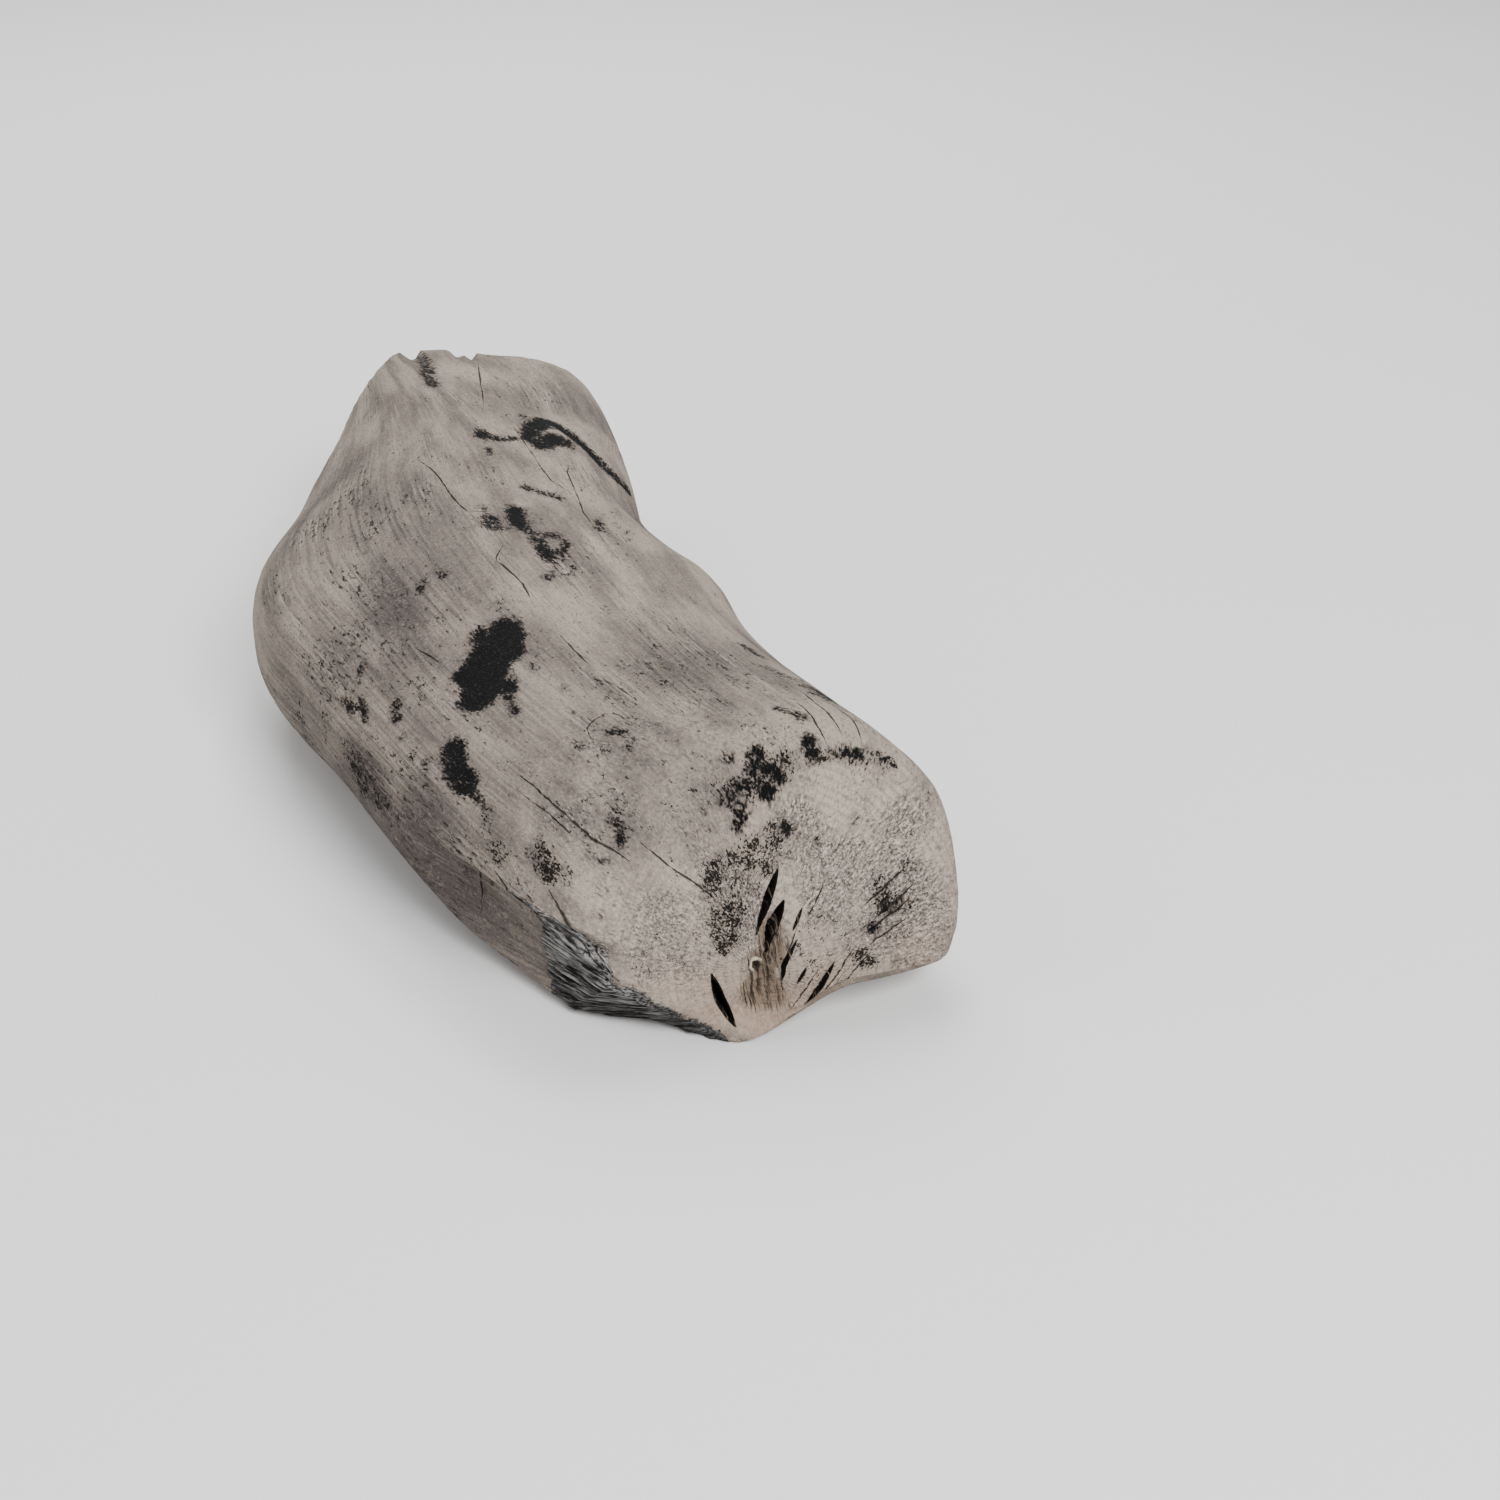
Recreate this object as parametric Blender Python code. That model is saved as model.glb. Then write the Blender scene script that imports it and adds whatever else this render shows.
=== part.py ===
"""A lump of hard white charcoal: a split length of branch, burnt through and dusted with ash.

The lump lies along Y on its split underside. Its near end, towards -Y, shows the pith low in a leaning
face. A knot swells the right shoulder, the belly bulges to the left, and the far end is narrower.
Positions on the lump are measured from the near pith's foot: x to the right, along the grain, z up.
"""
import bmesh
import bpy
import numpy as np

# Driving dimensions, in metres
LENGTH = 0.228             # from the near pith to the middle of the far cut
PITH = (0.0070, 0.0110)    # x and z of the pith on the near face
FAR_PITH = (0.0050, 0.0220)
FACE_LEAN = 0.38           # how far the near face leans back, per metre of height
FAR_DOME = 0.004           # how far the far cut stands out in its middle
BOX_MIDDLE = (-0.0068, 0.1117)   # middle of the lump on plan, which becomes the origin
COLUMNS = 88               # facets round the lump
NEAR_ROWS, SIDE_ROWS, FAR_ROWS = 20, 28, 8
LEAN_STEPS = 12            # tries it takes to settle where the side meets the leaning face

# The section along the grain: along, left edge, right edge, crown height, peak's x, height of the left
# edge, height of the right edge, keel height, and how square its shoulders are, upper left, upper right,
# lower left and lower right
STATIONS = np.array([
    (-0.020, -0.0160, 0.0410, 0.0430, 0.018, 0.014, 0.021, -0.0005, 2.15, 2.10, 4.5, 2.6),
    (0.000, -0.0230, 0.0442, 0.0475, 0.018, 0.015, 0.022, -0.0005, 2.15, 2.10, 4.5, 2.6),
    (0.015, -0.0315, 0.0438, 0.0470, 0.016, 0.018, 0.023, -0.0008, 2.15, 2.10, 4.2, 2.7),
    (0.035, -0.0390, 0.0395, 0.0455, 0.012, 0.022, 0.025, -0.0010, 2.15, 2.15, 3.4, 2.7),
    (0.060, -0.0455, 0.0332, 0.0452, 0.008, 0.024, 0.026, -0.0014, 2.15, 2.15, 2.9, 2.7),
    (0.090, -0.0525, 0.0310, 0.0475, 0.004, 0.025, 0.026, -0.0018, 2.15, 2.15, 2.7, 2.7),
    (0.120, -0.0580, 0.0305, 0.0490, 0.002, 0.025, 0.026, -0.0018, 2.10, 2.15, 2.7, 2.7),
    (0.145, -0.0550, 0.0308, 0.0492, 0.001, 0.025, 0.026, -0.0018, 2.00, 2.20, 2.7, 2.7),
    (0.175, -0.0435, 0.0345, 0.0490, -0.001, 0.024, 0.025, -0.0014, 1.90, 2.30, 2.7, 2.7),
    (0.200, -0.0340, 0.0375, 0.0492, -0.005, 0.023, 0.024, -0.0008, 1.68, 2.50, 2.7, 2.6),
    (0.220, -0.0275, 0.0385, 0.0490, -0.008, 0.022, 0.024, 0.0006, 1.50, 2.65, 2.7, 2.5),
    (0.245, -0.0235, 0.0365, 0.0470, -0.008, 0.022, 0.023, 0.0020, 1.50, 2.65, 2.7, 2.5),
])
# Core that the breaks are cut back towards, as shares of the peak's x and of the crown height
CORE = (0.6, 0.4)

# Round-over of the near face's rim: compass direction from the pith in degrees, and its reach
RIM_ROUND = (
    (-90, 0.0030), (0, 0.0045), (40, 0.0055), (60, 0.0085), (80, 0.0140), (105, 0.0190),
    (130, 0.0190), (150, 0.0120), (170, 0.0050), (185, 0.0030), (270, 0.0030),
)

# The corner broken off low at the near left, under a ridge that climbs along the grain: a point on the
# break, its outward direction, the ridge's height at the near face and its climb
BREAK_POINT = (-0.0175, 0.0020, 0.0160)
BREAK_NORMAL = (-0.87, -0.49, -0.05)
RIDGE_HEIGHT = 0.0165
RIDGE_CLIMB = 0.17
RIDGE_EDGE = 0.9           # how sharply the break ends above its ridge
# A second, lower flake off the near face's left foot
FLAKE_POINT = (-0.0094, -0.0013, 0.0080)
FLAKE_NORMAL = (-0.50, -0.70, -0.51)
# The underside: flat where the lump rests, hollowed up in low waves elsewhere, and lifted at the near
# end on both sides of its lowest tip: x where the lift starts, its run across, its run along, and height
REST = (0.0000, 0.1120)
REST_RADIUS = 0.022
HOLLOWS = (0.0016, 0.020, 0.060)
FLAT_SHARE = 0.2           # how much of each wave is taken off, which leaves the flats between the hollows
REST_HOLD = 3              # how firmly the waves are held down where the lump rests
LIFTS = ((0.0005, 0.0220, 0.0600, 0.0074), (-0.0020, -0.0110, 0.0200, 0.0045))
LIFT_MOST = 1.2            # a lift's height stops growing this far before the near face, in runs along

# Low waves of the surface: height, and length across and along the grain
SWELL = (0.0007, 0.022, 0.065)
FLUTES = (0.0004, 0.009, 0.080)
FACE_FLUTES = 0.3          # share of the flutes that shows on the near face
RIM_ROWS = 2               # rows at the near rim that have the flutes in full
# Knots and dents: x, along, z, radius, and height, which is below zero for a dent
KNOTS = (
    (0.0280, 0.0960, 0.0400, 0.012, 0.0022),
    (0.0310, 0.1330, 0.0370, 0.018, -0.0030),
    (0.0170, 0.1820, 0.0480, 0.007, -0.0016),
    (0.0290, 0.1740, 0.0420, 0.006, 0.0012),
    (-0.0140, 0.1320, 0.0480, 0.013, -0.0008),
    (-0.0430, 0.1680, 0.0320, 0.020, -0.0020),
    (0.0360, 0.0600, 0.0180, 0.014, 0.0018),
    (-0.0490, 0.0830, 0.0090, 0.019, -0.0006),
)
# Drying cracks in the near face: points from end to end as x and z, greatest width, and depth
NEAR_CRACKS = (
    (((0.0118, 0.0262), (0.0096, 0.0220), (0.0072, 0.0168)), 0.0018, 0.0050),
    (((0.0123, 0.0215), (0.0103, 0.0180), (0.0086, 0.0138)), 0.0024, 0.0055),
    (((-0.0012, 0.0118), (-0.0003, 0.0078), (0.0013, 0.0036)), 0.0018, 0.0045),
)
CRACK_FLOOR = 1.3          # over 1 gives a crack a flat floor
CRACK_TAPER = 0.6          # below 1 keeps a crack wide for longer before it tapers
CRACK_TIP = 0.03           # share of its length cut off each pointed end
# Drying cracks in the far cut
FAR_CRACKS = (
    (((0.0060, 0.0250), (0.0160, 0.0330), (0.0290, 0.0370)), 0.0026, 0.0060),
    (((0.0030, 0.0230), (-0.0080, 0.0290), (-0.0190, 0.0300)), 0.0024, 0.0050),
    (((0.0050, 0.0200), (0.0080, 0.0120), (0.0150, 0.0060)), 0.0022, 0.0050),
)
# Nicks in the far rim along the top: x, width and depth
FAR_NICKS = ((-0.0055, 0.0030, 0.0022), (0.0055, 0.0030, 0.0018), (0.0085, 0.0024, 0.0022))
NICK_RUN = 0.012
NICK_FLOOR = 1.4           # over 1 gives a nick a flat floor

SEED = 11
WAVES = 14


def smoothly(table, at):
    """Values of the table at each place along, on a smooth curve through its rows."""
    places = table[:, 0]
    values = table[:, 1:]
    slopes = np.gradient(values, places, axis=0)
    at = np.clip(at, places[0], places[-1])
    row = np.clip(np.searchsorted(places, at, side="right") - 1, 0, len(places) - 2)
    gap = (places[row + 1] - places[row])[..., None]
    t = (at - places[row])[..., None] / gap
    start = (2 * t**3 - 3 * t**2 + 1) * values[row] + (t**3 - 2 * t**2 + t) * gap * slopes[row]
    end = (3 * t**2 - 2 * t**3) * values[row + 1] + (t**3 - t**2) * gap * slopes[row + 1]
    return start + end


def unit(vector):
    return np.array(vector) / np.linalg.norm(vector)


def trimmed(points, core, past):
    """Pulls the points that lie past a flat break back onto it, along the line to the section's core."""
    outside = past(points)
    inside = past(core)
    share = np.where(outside > 0, inside / np.minimum(inside - outside, -1e-9), 1.0)
    return core + (points - core) * share[..., None]


def past_break(points):
    over = points[..., 2] - (RIDGE_HEIGHT + RIDGE_CLIMB * points[..., 1])
    return (points - BREAK_POINT) @ unit(BREAK_NORMAL) - RIDGE_EDGE * np.maximum(over, 0)


def past_flake(points):
    return (points - FLAKE_POINT) @ unit(FLAKE_NORMAL)


def section(along, turn):
    """Points of the outline, for places along the grain and turns round it, 0 to the right."""
    left, right, crown, peak, left_z, right_z, keel, *bows = np.moveaxis(smoothly(STATIONS, along), -1, 0)
    across, up = np.cos(turn), np.sin(turn)
    upper_bow = np.where(across < 0, bows[0], bows[1])
    bow = np.where(up < 0, np.where(across < 0, bows[2], bows[3]), upper_bow)
    across_share = np.sign(across) * np.abs(across) ** (2 / bow)
    up_share = np.sign(up) * np.abs(up) ** (2 / bow)
    edge_z = np.where(across < 0, left_z, right_z)
    x = peak + np.where(across < 0, peak - left, right - peak) * across_share
    z = edge_z + np.where(up < 0, edge_z - keel, crown - edge_z) * up_share
    points = np.stack([x, along, z], -1)
    core = np.stack([peak * CORE[0], along, crown * CORE[1]], -1)
    return trimmed(trimmed(points, core, past_break), core, past_flake)


def near_corner(turn):
    """The outline where the side would meet the near face with no round-over, and the round-over's reach."""
    corner = section(np.zeros_like(turn), turn)
    for _ in range(LEAN_STEPS):
        corner = section(FACE_LEAN * (corner[:, 2] - PITH[1]), turn)
    compass = np.degrees(np.arctan2(corner[:, 2] - PITH[1], corner[:, 0] - PITH[0]))
    compass = np.where(compass < -90, compass + 360, compass)
    return corner, smoothly(np.array(RIM_ROUND), compass)[:, 0]


def near_face(corner, reach, side, share):
    """One ring of the near face, at this share of the way from the pith round the rim to the side."""
    middle = np.array([PITH[0], 0.0, PITH[1]])
    radius = np.linalg.norm(corner - middle, axis=-1)
    inner = 1 - reach / radius
    flat = middle + (corner - middle) * np.minimum(share, inner)[:, None]
    t = np.clip((share - inner) / (1 - inner), 0, 1)[:, None]
    return (1 - t)**2 * flat + 2 * t * (1 - t) * corner + t**2 * side


def far_face(rim, share):
    x = FAR_PITH[0] + (rim[:, 0] - FAR_PITH[0]) * share
    z = FAR_PITH[1] + (rim[:, 2] - FAR_PITH[1]) * share
    return np.stack([x, rim[:, 1] + FAR_DOME * np.sqrt(1 - share**2), z], -1)


def lump_rings(columns, near_rows, side_rows, far_rows):
    """Rings of points from the near pith to the far one."""
    turn = np.linspace(-np.pi / 2, 1.5 * np.pi, columns, endpoint=False)
    corner, reach = near_corner(turn)
    near_along = corner[:, 1] + reach
    side = section(near_along, turn)
    rings = [near_face(corner, reach, side, share) for share in np.linspace(0, 1, near_rows + 1)]
    far_along = LENGTH - FAR_DOME
    for share in np.linspace(0, 1, side_rows + 1)[1:]:
        rings.append(section(near_along * (1 - share) + far_along * share, turn))
    far_rim = rings[-1]
    rings += [far_face(far_rim, share) for share in np.linspace(1, 0, far_rows + 1)[1:]]
    return np.array(rings)


def waves(points, across, lengthwise, rng):
    """Smooth random heights between about -1 and 1, stretched along the grain."""
    spread = rng.normal(size=(WAVES, 3)) / np.array([across, lengthwise, across]) * 2
    phase = rng.uniform(0, 2 * np.pi, WAVES)
    return np.sin(points @ spread.T + phase).sum(-1) / np.sqrt(WAVES)


def crack_depth(flat, line, width, depth):
    """How deep a crack is at points of a cut face, given as x and z."""
    line = np.array(line)
    best = np.zeros(flat.shape[:-1])
    steps = len(line) - 1
    for step in range(steps):
        start, way = line[step], line[step + 1] - line[step]
        t = np.clip(((flat - start) @ way) / (way @ way), 0, 1)
        away = np.linalg.norm(flat - start - t[..., None] * way, axis=-1)
        run = np.clip((step + t) / steps, CRACK_TIP, 1 - CRACK_TIP)
        half = width / 2 * np.sin(np.pi * run) ** CRACK_TAPER
        best = np.maximum(best, np.clip(CRACK_FLOOR * (1 - away / half), 0, 1))
    return depth * best


def outward(rings):
    """Directions straight out of the surface at every point."""
    round_way = np.roll(rings, -1, axis=1) - np.roll(rings, 1, axis=1)
    long_way = np.gradient(rings, axis=0)
    out = np.cross(long_way, round_way)
    size = np.linalg.norm(out, axis=-1, keepdims=True)
    out = np.where(size > 1e-12, out / np.maximum(size, 1e-12), 0.0)
    out[0] = (0, -1, 0)
    out[-1] = (0, 1, 0)
    return out


def underside(points, rng):
    """Lowest height that the lump has over each place on plan."""
    height, across, lengthwise = HOLLOWS
    flat = points * (1, 1, 0)
    rest = np.linalg.norm(flat[..., :2] - REST, axis=-1) / REST_RADIUS
    floor = height * (waves(flat, across, lengthwise, rng) - FLAT_SHARE - REST_HOLD * np.exp(-rest**2))
    floor = np.maximum(floor, 0)
    for start, across, lengthwise, lift in LIFTS:
        t = np.clip((points[..., 0] - start) / across, 0, 1)
        near = np.clip(1 - points[..., 1] / lengthwise, 0, LIFT_MOST)
        floor = np.maximum(floor, lift * t * t * (3 - 2 * t) * near**2)
    return floor


def shaped(rings, near_rows, far_rows):
    """Adds waves, knots, cracks and nicks to the plain form, and flattens what it rests on."""
    rng = np.random.default_rng(SEED)
    height, across, lengthwise = SWELL
    lift = height * waves(rings, across, lengthwise, rng)
    height, across, lengthwise = FLUTES
    flutes = height * waves(rings, across, lengthwise, rng)
    flutes[:near_rows - RIM_ROWS] *= FACE_FLUTES
    lift += flutes
    for x, along, z, radius, height in KNOTS:
        away = np.linalg.norm(rings - (x, along, z), axis=-1) / radius
        lift += height * np.exp(-away**2)
    points = rings + outward(rings) * lift[..., None]
    for line, width, depth in NEAR_CRACKS:
        points[:near_rows, :, 1] += crack_depth(rings[:near_rows, :, ::2], line, width, depth)
    for line, width, depth in FAR_CRACKS:
        points[-far_rows:, :, 1] -= crack_depth(rings[-far_rows:, :, ::2], line, width, depth)
    for x, width, depth in FAR_NICKS:
        run = np.clip(1 - (LENGTH - FAR_DOME - rings[..., 1]) / NICK_RUN, 0, 1)
        top = rings[..., 2] > FAR_PITH[1]
        across = np.clip(NICK_FLOOR - np.abs(rings[..., 0] - x) * 2 / width, 0, 1)
        points[..., 2] -= depth * run * top * across
    points[..., 2] = np.maximum(points[..., 2], underside(points, rng))
    points[0] = points[0].mean(axis=0)
    points[-1] = points[-1].mean(axis=0)
    return points


def closed_mesh(rings, name):
    """Skins the rings, with one point at each pith."""
    count, columns = rings.shape[:2]
    vertices = [rings[0, 0], *rings[1:-1].reshape(-1, 3), rings[-1, 0]]
    last = len(vertices) - 1
    faces = []
    for column in range(columns):
        following = (column + 1) % columns
        faces.append((0, 1 + following, 1 + column))
        for row in range(count - 3):
            low = 1 + row * columns
            high = low + columns
            faces.append((low + column, low + following, high + following, high + column))
        low = 1 + (count - 3) * columns
        faces.append((low + column, low + following, last))
    mesh = bpy.data.meshes.new(name)
    mesh.from_pydata([tuple(map(float, v)) for v in vertices], [], faces)
    body = bmesh.new()
    body.from_mesh(mesh)
    bmesh.ops.triangulate(body, faces=body.faces, quad_method="SHORT_EDGE")
    bmesh.ops.recalc_face_normals(body, faces=body.faces)
    body.to_mesh(mesh)
    body.free()
    return mesh


def ash_grey():
    """Charcoal under a skin of pale ash."""
    material = bpy.data.materials.new("charcoal")
    material.use_nodes = True
    shader = material.node_tree.nodes["Principled BSDF"]
    shader.inputs["Base Color"].default_value = (0.36, 0.33, 0.30, 1)
    shader.inputs["Roughness"].default_value = 0.85
    shader.inputs["Metallic"].default_value = 0
    return material


def make_lump():
    rings = lump_rings(COLUMNS, NEAR_ROWS, SIDE_ROWS, FAR_ROWS)
    points = shaped(rings, NEAR_ROWS, FAR_ROWS)
    points = points - (BOX_MIDDLE[0], BOX_MIDDLE[1], 0)
    mesh = closed_mesh(points, "charcoal_lump")
    mesh.materials.append(ash_grey())
    lump = bpy.data.objects.new("charcoal_lump", mesh)
    bpy.context.collection.objects.link(lump)
    mesh.shade_smooth()


for old in list(bpy.data.objects):
    bpy.data.objects.remove(old, do_unlink=True)
make_lump()
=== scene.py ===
from math import radians, tau

import bpy
import numpy as np
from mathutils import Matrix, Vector, noise


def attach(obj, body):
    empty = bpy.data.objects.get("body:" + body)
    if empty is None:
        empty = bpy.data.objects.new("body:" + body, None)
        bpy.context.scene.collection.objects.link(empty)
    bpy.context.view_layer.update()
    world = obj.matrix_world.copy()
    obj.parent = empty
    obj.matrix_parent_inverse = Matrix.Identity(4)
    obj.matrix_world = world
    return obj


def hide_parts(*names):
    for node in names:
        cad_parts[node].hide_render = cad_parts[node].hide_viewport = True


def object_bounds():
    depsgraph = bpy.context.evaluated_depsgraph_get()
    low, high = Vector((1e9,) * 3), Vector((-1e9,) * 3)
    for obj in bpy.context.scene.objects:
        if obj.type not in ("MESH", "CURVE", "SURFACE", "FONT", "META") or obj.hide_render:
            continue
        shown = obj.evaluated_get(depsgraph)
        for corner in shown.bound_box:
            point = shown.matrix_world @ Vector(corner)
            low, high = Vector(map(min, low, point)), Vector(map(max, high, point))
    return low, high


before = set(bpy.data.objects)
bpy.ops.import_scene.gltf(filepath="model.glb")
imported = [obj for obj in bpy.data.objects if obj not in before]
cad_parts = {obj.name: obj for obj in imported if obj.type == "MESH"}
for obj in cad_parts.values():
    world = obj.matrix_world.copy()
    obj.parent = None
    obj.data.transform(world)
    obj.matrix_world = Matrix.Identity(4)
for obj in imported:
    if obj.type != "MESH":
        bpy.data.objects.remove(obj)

cad_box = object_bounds()

# The camera.
# It stands off the near left end and looks down along the lump, with empty floor all round it. Its
# place is measured from the middle of the lump on plan.
CAMERA_PLACE = (-0.0850, -0.4032, 0.2159)
CAMERA_TURN = (62.0, 0.0, -18.4)      # degrees; 28 below level, swung to the right
CAMERA_LENS = 53.7                    # millimetres on a 36 mm sensor

camera = bpy.data.objects.new("camera", bpy.data.cameras.new("camera"))
bpy.context.scene.collection.objects.link(camera)
camera.location = CAMERA_PLACE
camera.rotation_euler = [radians(turn) for turn in CAMERA_TURN]
camera.data.sensor_width = 36
camera.data.lens = CAMERA_LENS
camera.data.clip_start = 0.01
bpy.context.scene.camera = camera


# The lump's form.
# A half-round length of hardwood branch, split off below its pith, burnt at white heat and smothered
# with ash. It swells at a knot on the right shoulder and bellies out to the left; one low corner broke
# off at the near end. The piece stands for the plain solid and keeps its form, at a finer grain.
LENGTH = 0.228                        # from the near pith to the middle of the far cut
PITH = (0.0070, 0.0110)               # x and z of the pith on the near face
FAR_PITH = (0.0050, 0.0220)
FACE_LEAN = 0.38                      # how far the near face leans back as it rises
LEAN_STEPS = 12                       # tries it takes to settle where the side meets the leaning face
FAR_DOME = 0.004
BOX_MIDDLE = (-0.0068, 0.1117)        # middle of the lump on plan, which is the origin
COLUMNS = 380
NEAR_ROWS, SIDE_ROWS, FAR_ROWS = 94, 116, 42
NEAR_CROWDING, SIDE_CROWDING = 1.25, 1.25   # rows stand closer by the near pith and the near rim

# along, left edge, right edge, crown height, peak's x, height of the left edge, of the right edge and of
# the keel, and how square its shoulders are, upper left, upper right, lower left and lower right
STATIONS = np.array([
    (-0.020, -0.0160, 0.0410, 0.0430, 0.018, 0.014, 0.021, -0.0005, 2.15, 2.10, 4.5, 2.6),
    (0.000, -0.0230, 0.0442, 0.0475, 0.018, 0.015, 0.022, -0.0005, 2.15, 2.10, 4.5, 2.6),
    (0.015, -0.0315, 0.0438, 0.0470, 0.016, 0.018, 0.023, -0.0008, 2.15, 2.10, 4.2, 2.7),
    (0.035, -0.0390, 0.0395, 0.0455, 0.012, 0.022, 0.025, -0.0010, 2.15, 2.15, 3.4, 2.7),
    (0.060, -0.0455, 0.0332, 0.0452, 0.008, 0.024, 0.026, -0.0014, 2.15, 2.15, 2.9, 2.7),
    (0.090, -0.0525, 0.0310, 0.0475, 0.004, 0.025, 0.026, -0.0018, 2.15, 2.15, 2.7, 2.7),
    (0.120, -0.0580, 0.0305, 0.0490, 0.002, 0.025, 0.026, -0.0018, 2.10, 2.15, 2.7, 2.7),
    (0.145, -0.0550, 0.0308, 0.0492, 0.001, 0.025, 0.026, -0.0018, 2.00, 2.20, 2.7, 2.7),
    (0.175, -0.0435, 0.0345, 0.0490, -0.001, 0.024, 0.025, -0.0014, 1.90, 2.30, 2.7, 2.7),
    (0.200, -0.0340, 0.0375, 0.0492, -0.005, 0.023, 0.024, -0.0008, 1.68, 2.50, 2.7, 2.6),
    (0.220, -0.0275, 0.0385, 0.0490, -0.008, 0.022, 0.024, 0.0006, 1.50, 2.65, 2.7, 2.5),
    (0.245, -0.0235, 0.0365, 0.0470, -0.008, 0.022, 0.023, 0.0020, 1.50, 2.65, 2.7, 2.5),
])
CORE = (0.6, 0.4)                     # where each section's core lies, as shares of its peak's x and crown
# compass direction from the near pith in degrees, and the reach of the rim's round-over there
RIM_ROUND = (
    (-90, 0.0030), (0, 0.0045), (40, 0.0055), (60, 0.0085), (80, 0.0140), (105, 0.0190),
    (130, 0.0190), (150, 0.0120), (170, 0.0050), (185, 0.0030), (270, 0.0030),
)
BREAK_POINT = (-0.0175, 0.0020, 0.0160)
BREAK_NORMAL = (-0.87, -0.49, -0.05)
RIDGE_HEIGHT = 0.0165
RIDGE_CLIMB = 0.17
RIDGE_EDGE = 0.9                      # how sharply the break ends above its ridge
FLAKE_POINT = (-0.0094, -0.0013, 0.0080)
FLAKE_NORMAL = (-0.50, -0.70, -0.51)
REST = (0.0000, 0.1120)               # x and along of the spot that it lies on
REST_RADIUS = 0.022
# low waves of the underside: height, and length across and along the grain
HOLLOWS = (0.0016, 0.020, 0.060)
FLAT_SHARE = 0.2                      # how much of each wave is taken off, which leaves flats between
REST_HOLD = 3                         # how firmly the waves are held down where the lump rests
# where the underside lifts off towards the near end: start in x, run across, run along, height
LIFTS = ((0.0005, 0.0220, 0.0600, 0.0074), (-0.0020, -0.0110, 0.0200, 0.0045))
LIFT_MOST = 1.2                       # a lift stops growing this far before the near face, in runs along
# low waves of the skin, as the underside's
SWELL = (0.0007, 0.022, 0.065)
FLUTES = (0.0004, 0.009, 0.080)
FACE_FLUTES = 0.3                     # share of the flutes that shows on the near face
RIM_ROWS = 6                          # rows at the near rim that have the flutes in full
# knots and dents: x, along, z, radius, and height, which is below zero for a dent
KNOTS = (
    (0.0280, 0.0960, 0.0400, 0.012, 0.0022),
    (0.0310, 0.1330, 0.0370, 0.018, -0.0030),
    (0.0170, 0.1820, 0.0480, 0.007, -0.0016),
    (0.0290, 0.1740, 0.0420, 0.006, 0.0012),
    (-0.0140, 0.1320, 0.0480, 0.013, -0.0008),
    (-0.0430, 0.1680, 0.0320, 0.020, -0.0020),
    (0.0360, 0.0600, 0.0180, 0.014, 0.0018),
    (-0.0490, 0.0830, 0.0090, 0.019, -0.0006),
)
FORM_SEED = 11
WAVES = 14


def smoothly(table, at):
    """Values of the table at each place along, on a smooth curve through its rows."""
    places = table[:, 0]
    values = table[:, 1:]
    slopes = np.gradient(values, places, axis=0)
    at = np.clip(at, places[0], places[-1])
    row = np.clip(np.searchsorted(places, at, side="right") - 1, 0, len(places) - 2)
    gap = (places[row + 1] - places[row])[..., None]
    t = (at - places[row])[..., None] / gap
    start = (2 * t**3 - 3 * t**2 + 1) * values[row] + (t**3 - 2 * t**2 + t) * gap * slopes[row]
    end = (3 * t**2 - 2 * t**3) * values[row + 1] + (t**3 - t**2) * gap * slopes[row + 1]
    return start + end


def unit(vector):
    return np.array(vector) / np.linalg.norm(vector)


def trimmed(points, core, past):
    """Pulls the points that lie past a flat break back onto it, along the line to the section's core."""
    outside = past(points)
    inside = past(core)
    share = np.where(outside > 0, inside / np.minimum(inside - outside, -1e-9), 1.0)
    return core + (points - core) * share[..., None]


def past_break(points):
    over = points[..., 2] - (RIDGE_HEIGHT + RIDGE_CLIMB * points[..., 1])
    return (points - BREAK_POINT) @ unit(BREAK_NORMAL) - RIDGE_EDGE * np.maximum(over, 0)


def past_flake(points):
    return (points - FLAKE_POINT) @ unit(FLAKE_NORMAL)


def section(along, turn):
    """Points of the outline, for places along the grain and turns round it, 0 to the right."""
    left, right, crown, peak, left_z, right_z, keel, *bows = np.moveaxis(smoothly(STATIONS, along), -1, 0)
    across, up = np.cos(turn), np.sin(turn)
    upper_bow = np.where(across < 0, bows[0], bows[1])
    bow = np.where(up < 0, np.where(across < 0, bows[2], bows[3]), upper_bow)
    across_share = np.sign(across) * np.abs(across) ** (2 / bow)
    up_share = np.sign(up) * np.abs(up) ** (2 / bow)
    edge_z = np.where(across < 0, left_z, right_z)
    x = peak + np.where(across < 0, peak - left, right - peak) * across_share
    z = edge_z + np.where(up < 0, edge_z - keel, crown - edge_z) * up_share
    points = np.stack([x, along, z], -1)
    core = np.stack([peak * CORE[0], along, crown * CORE[1]], -1)
    return trimmed(trimmed(points, core, past_break), core, past_flake)


def near_corner(turn):
    """The outline where the side would meet the near face with no round-over, and the round-over's reach."""
    corner = section(np.zeros_like(turn), turn)
    for _ in range(LEAN_STEPS):
        corner = section(FACE_LEAN * (corner[:, 2] - PITH[1]), turn)
    compass = np.degrees(np.arctan2(corner[:, 2] - PITH[1], corner[:, 0] - PITH[0]))
    compass = np.where(compass < -90, compass + 360, compass)
    return corner, smoothly(np.array(RIM_ROUND), compass)[:, 0]


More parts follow.
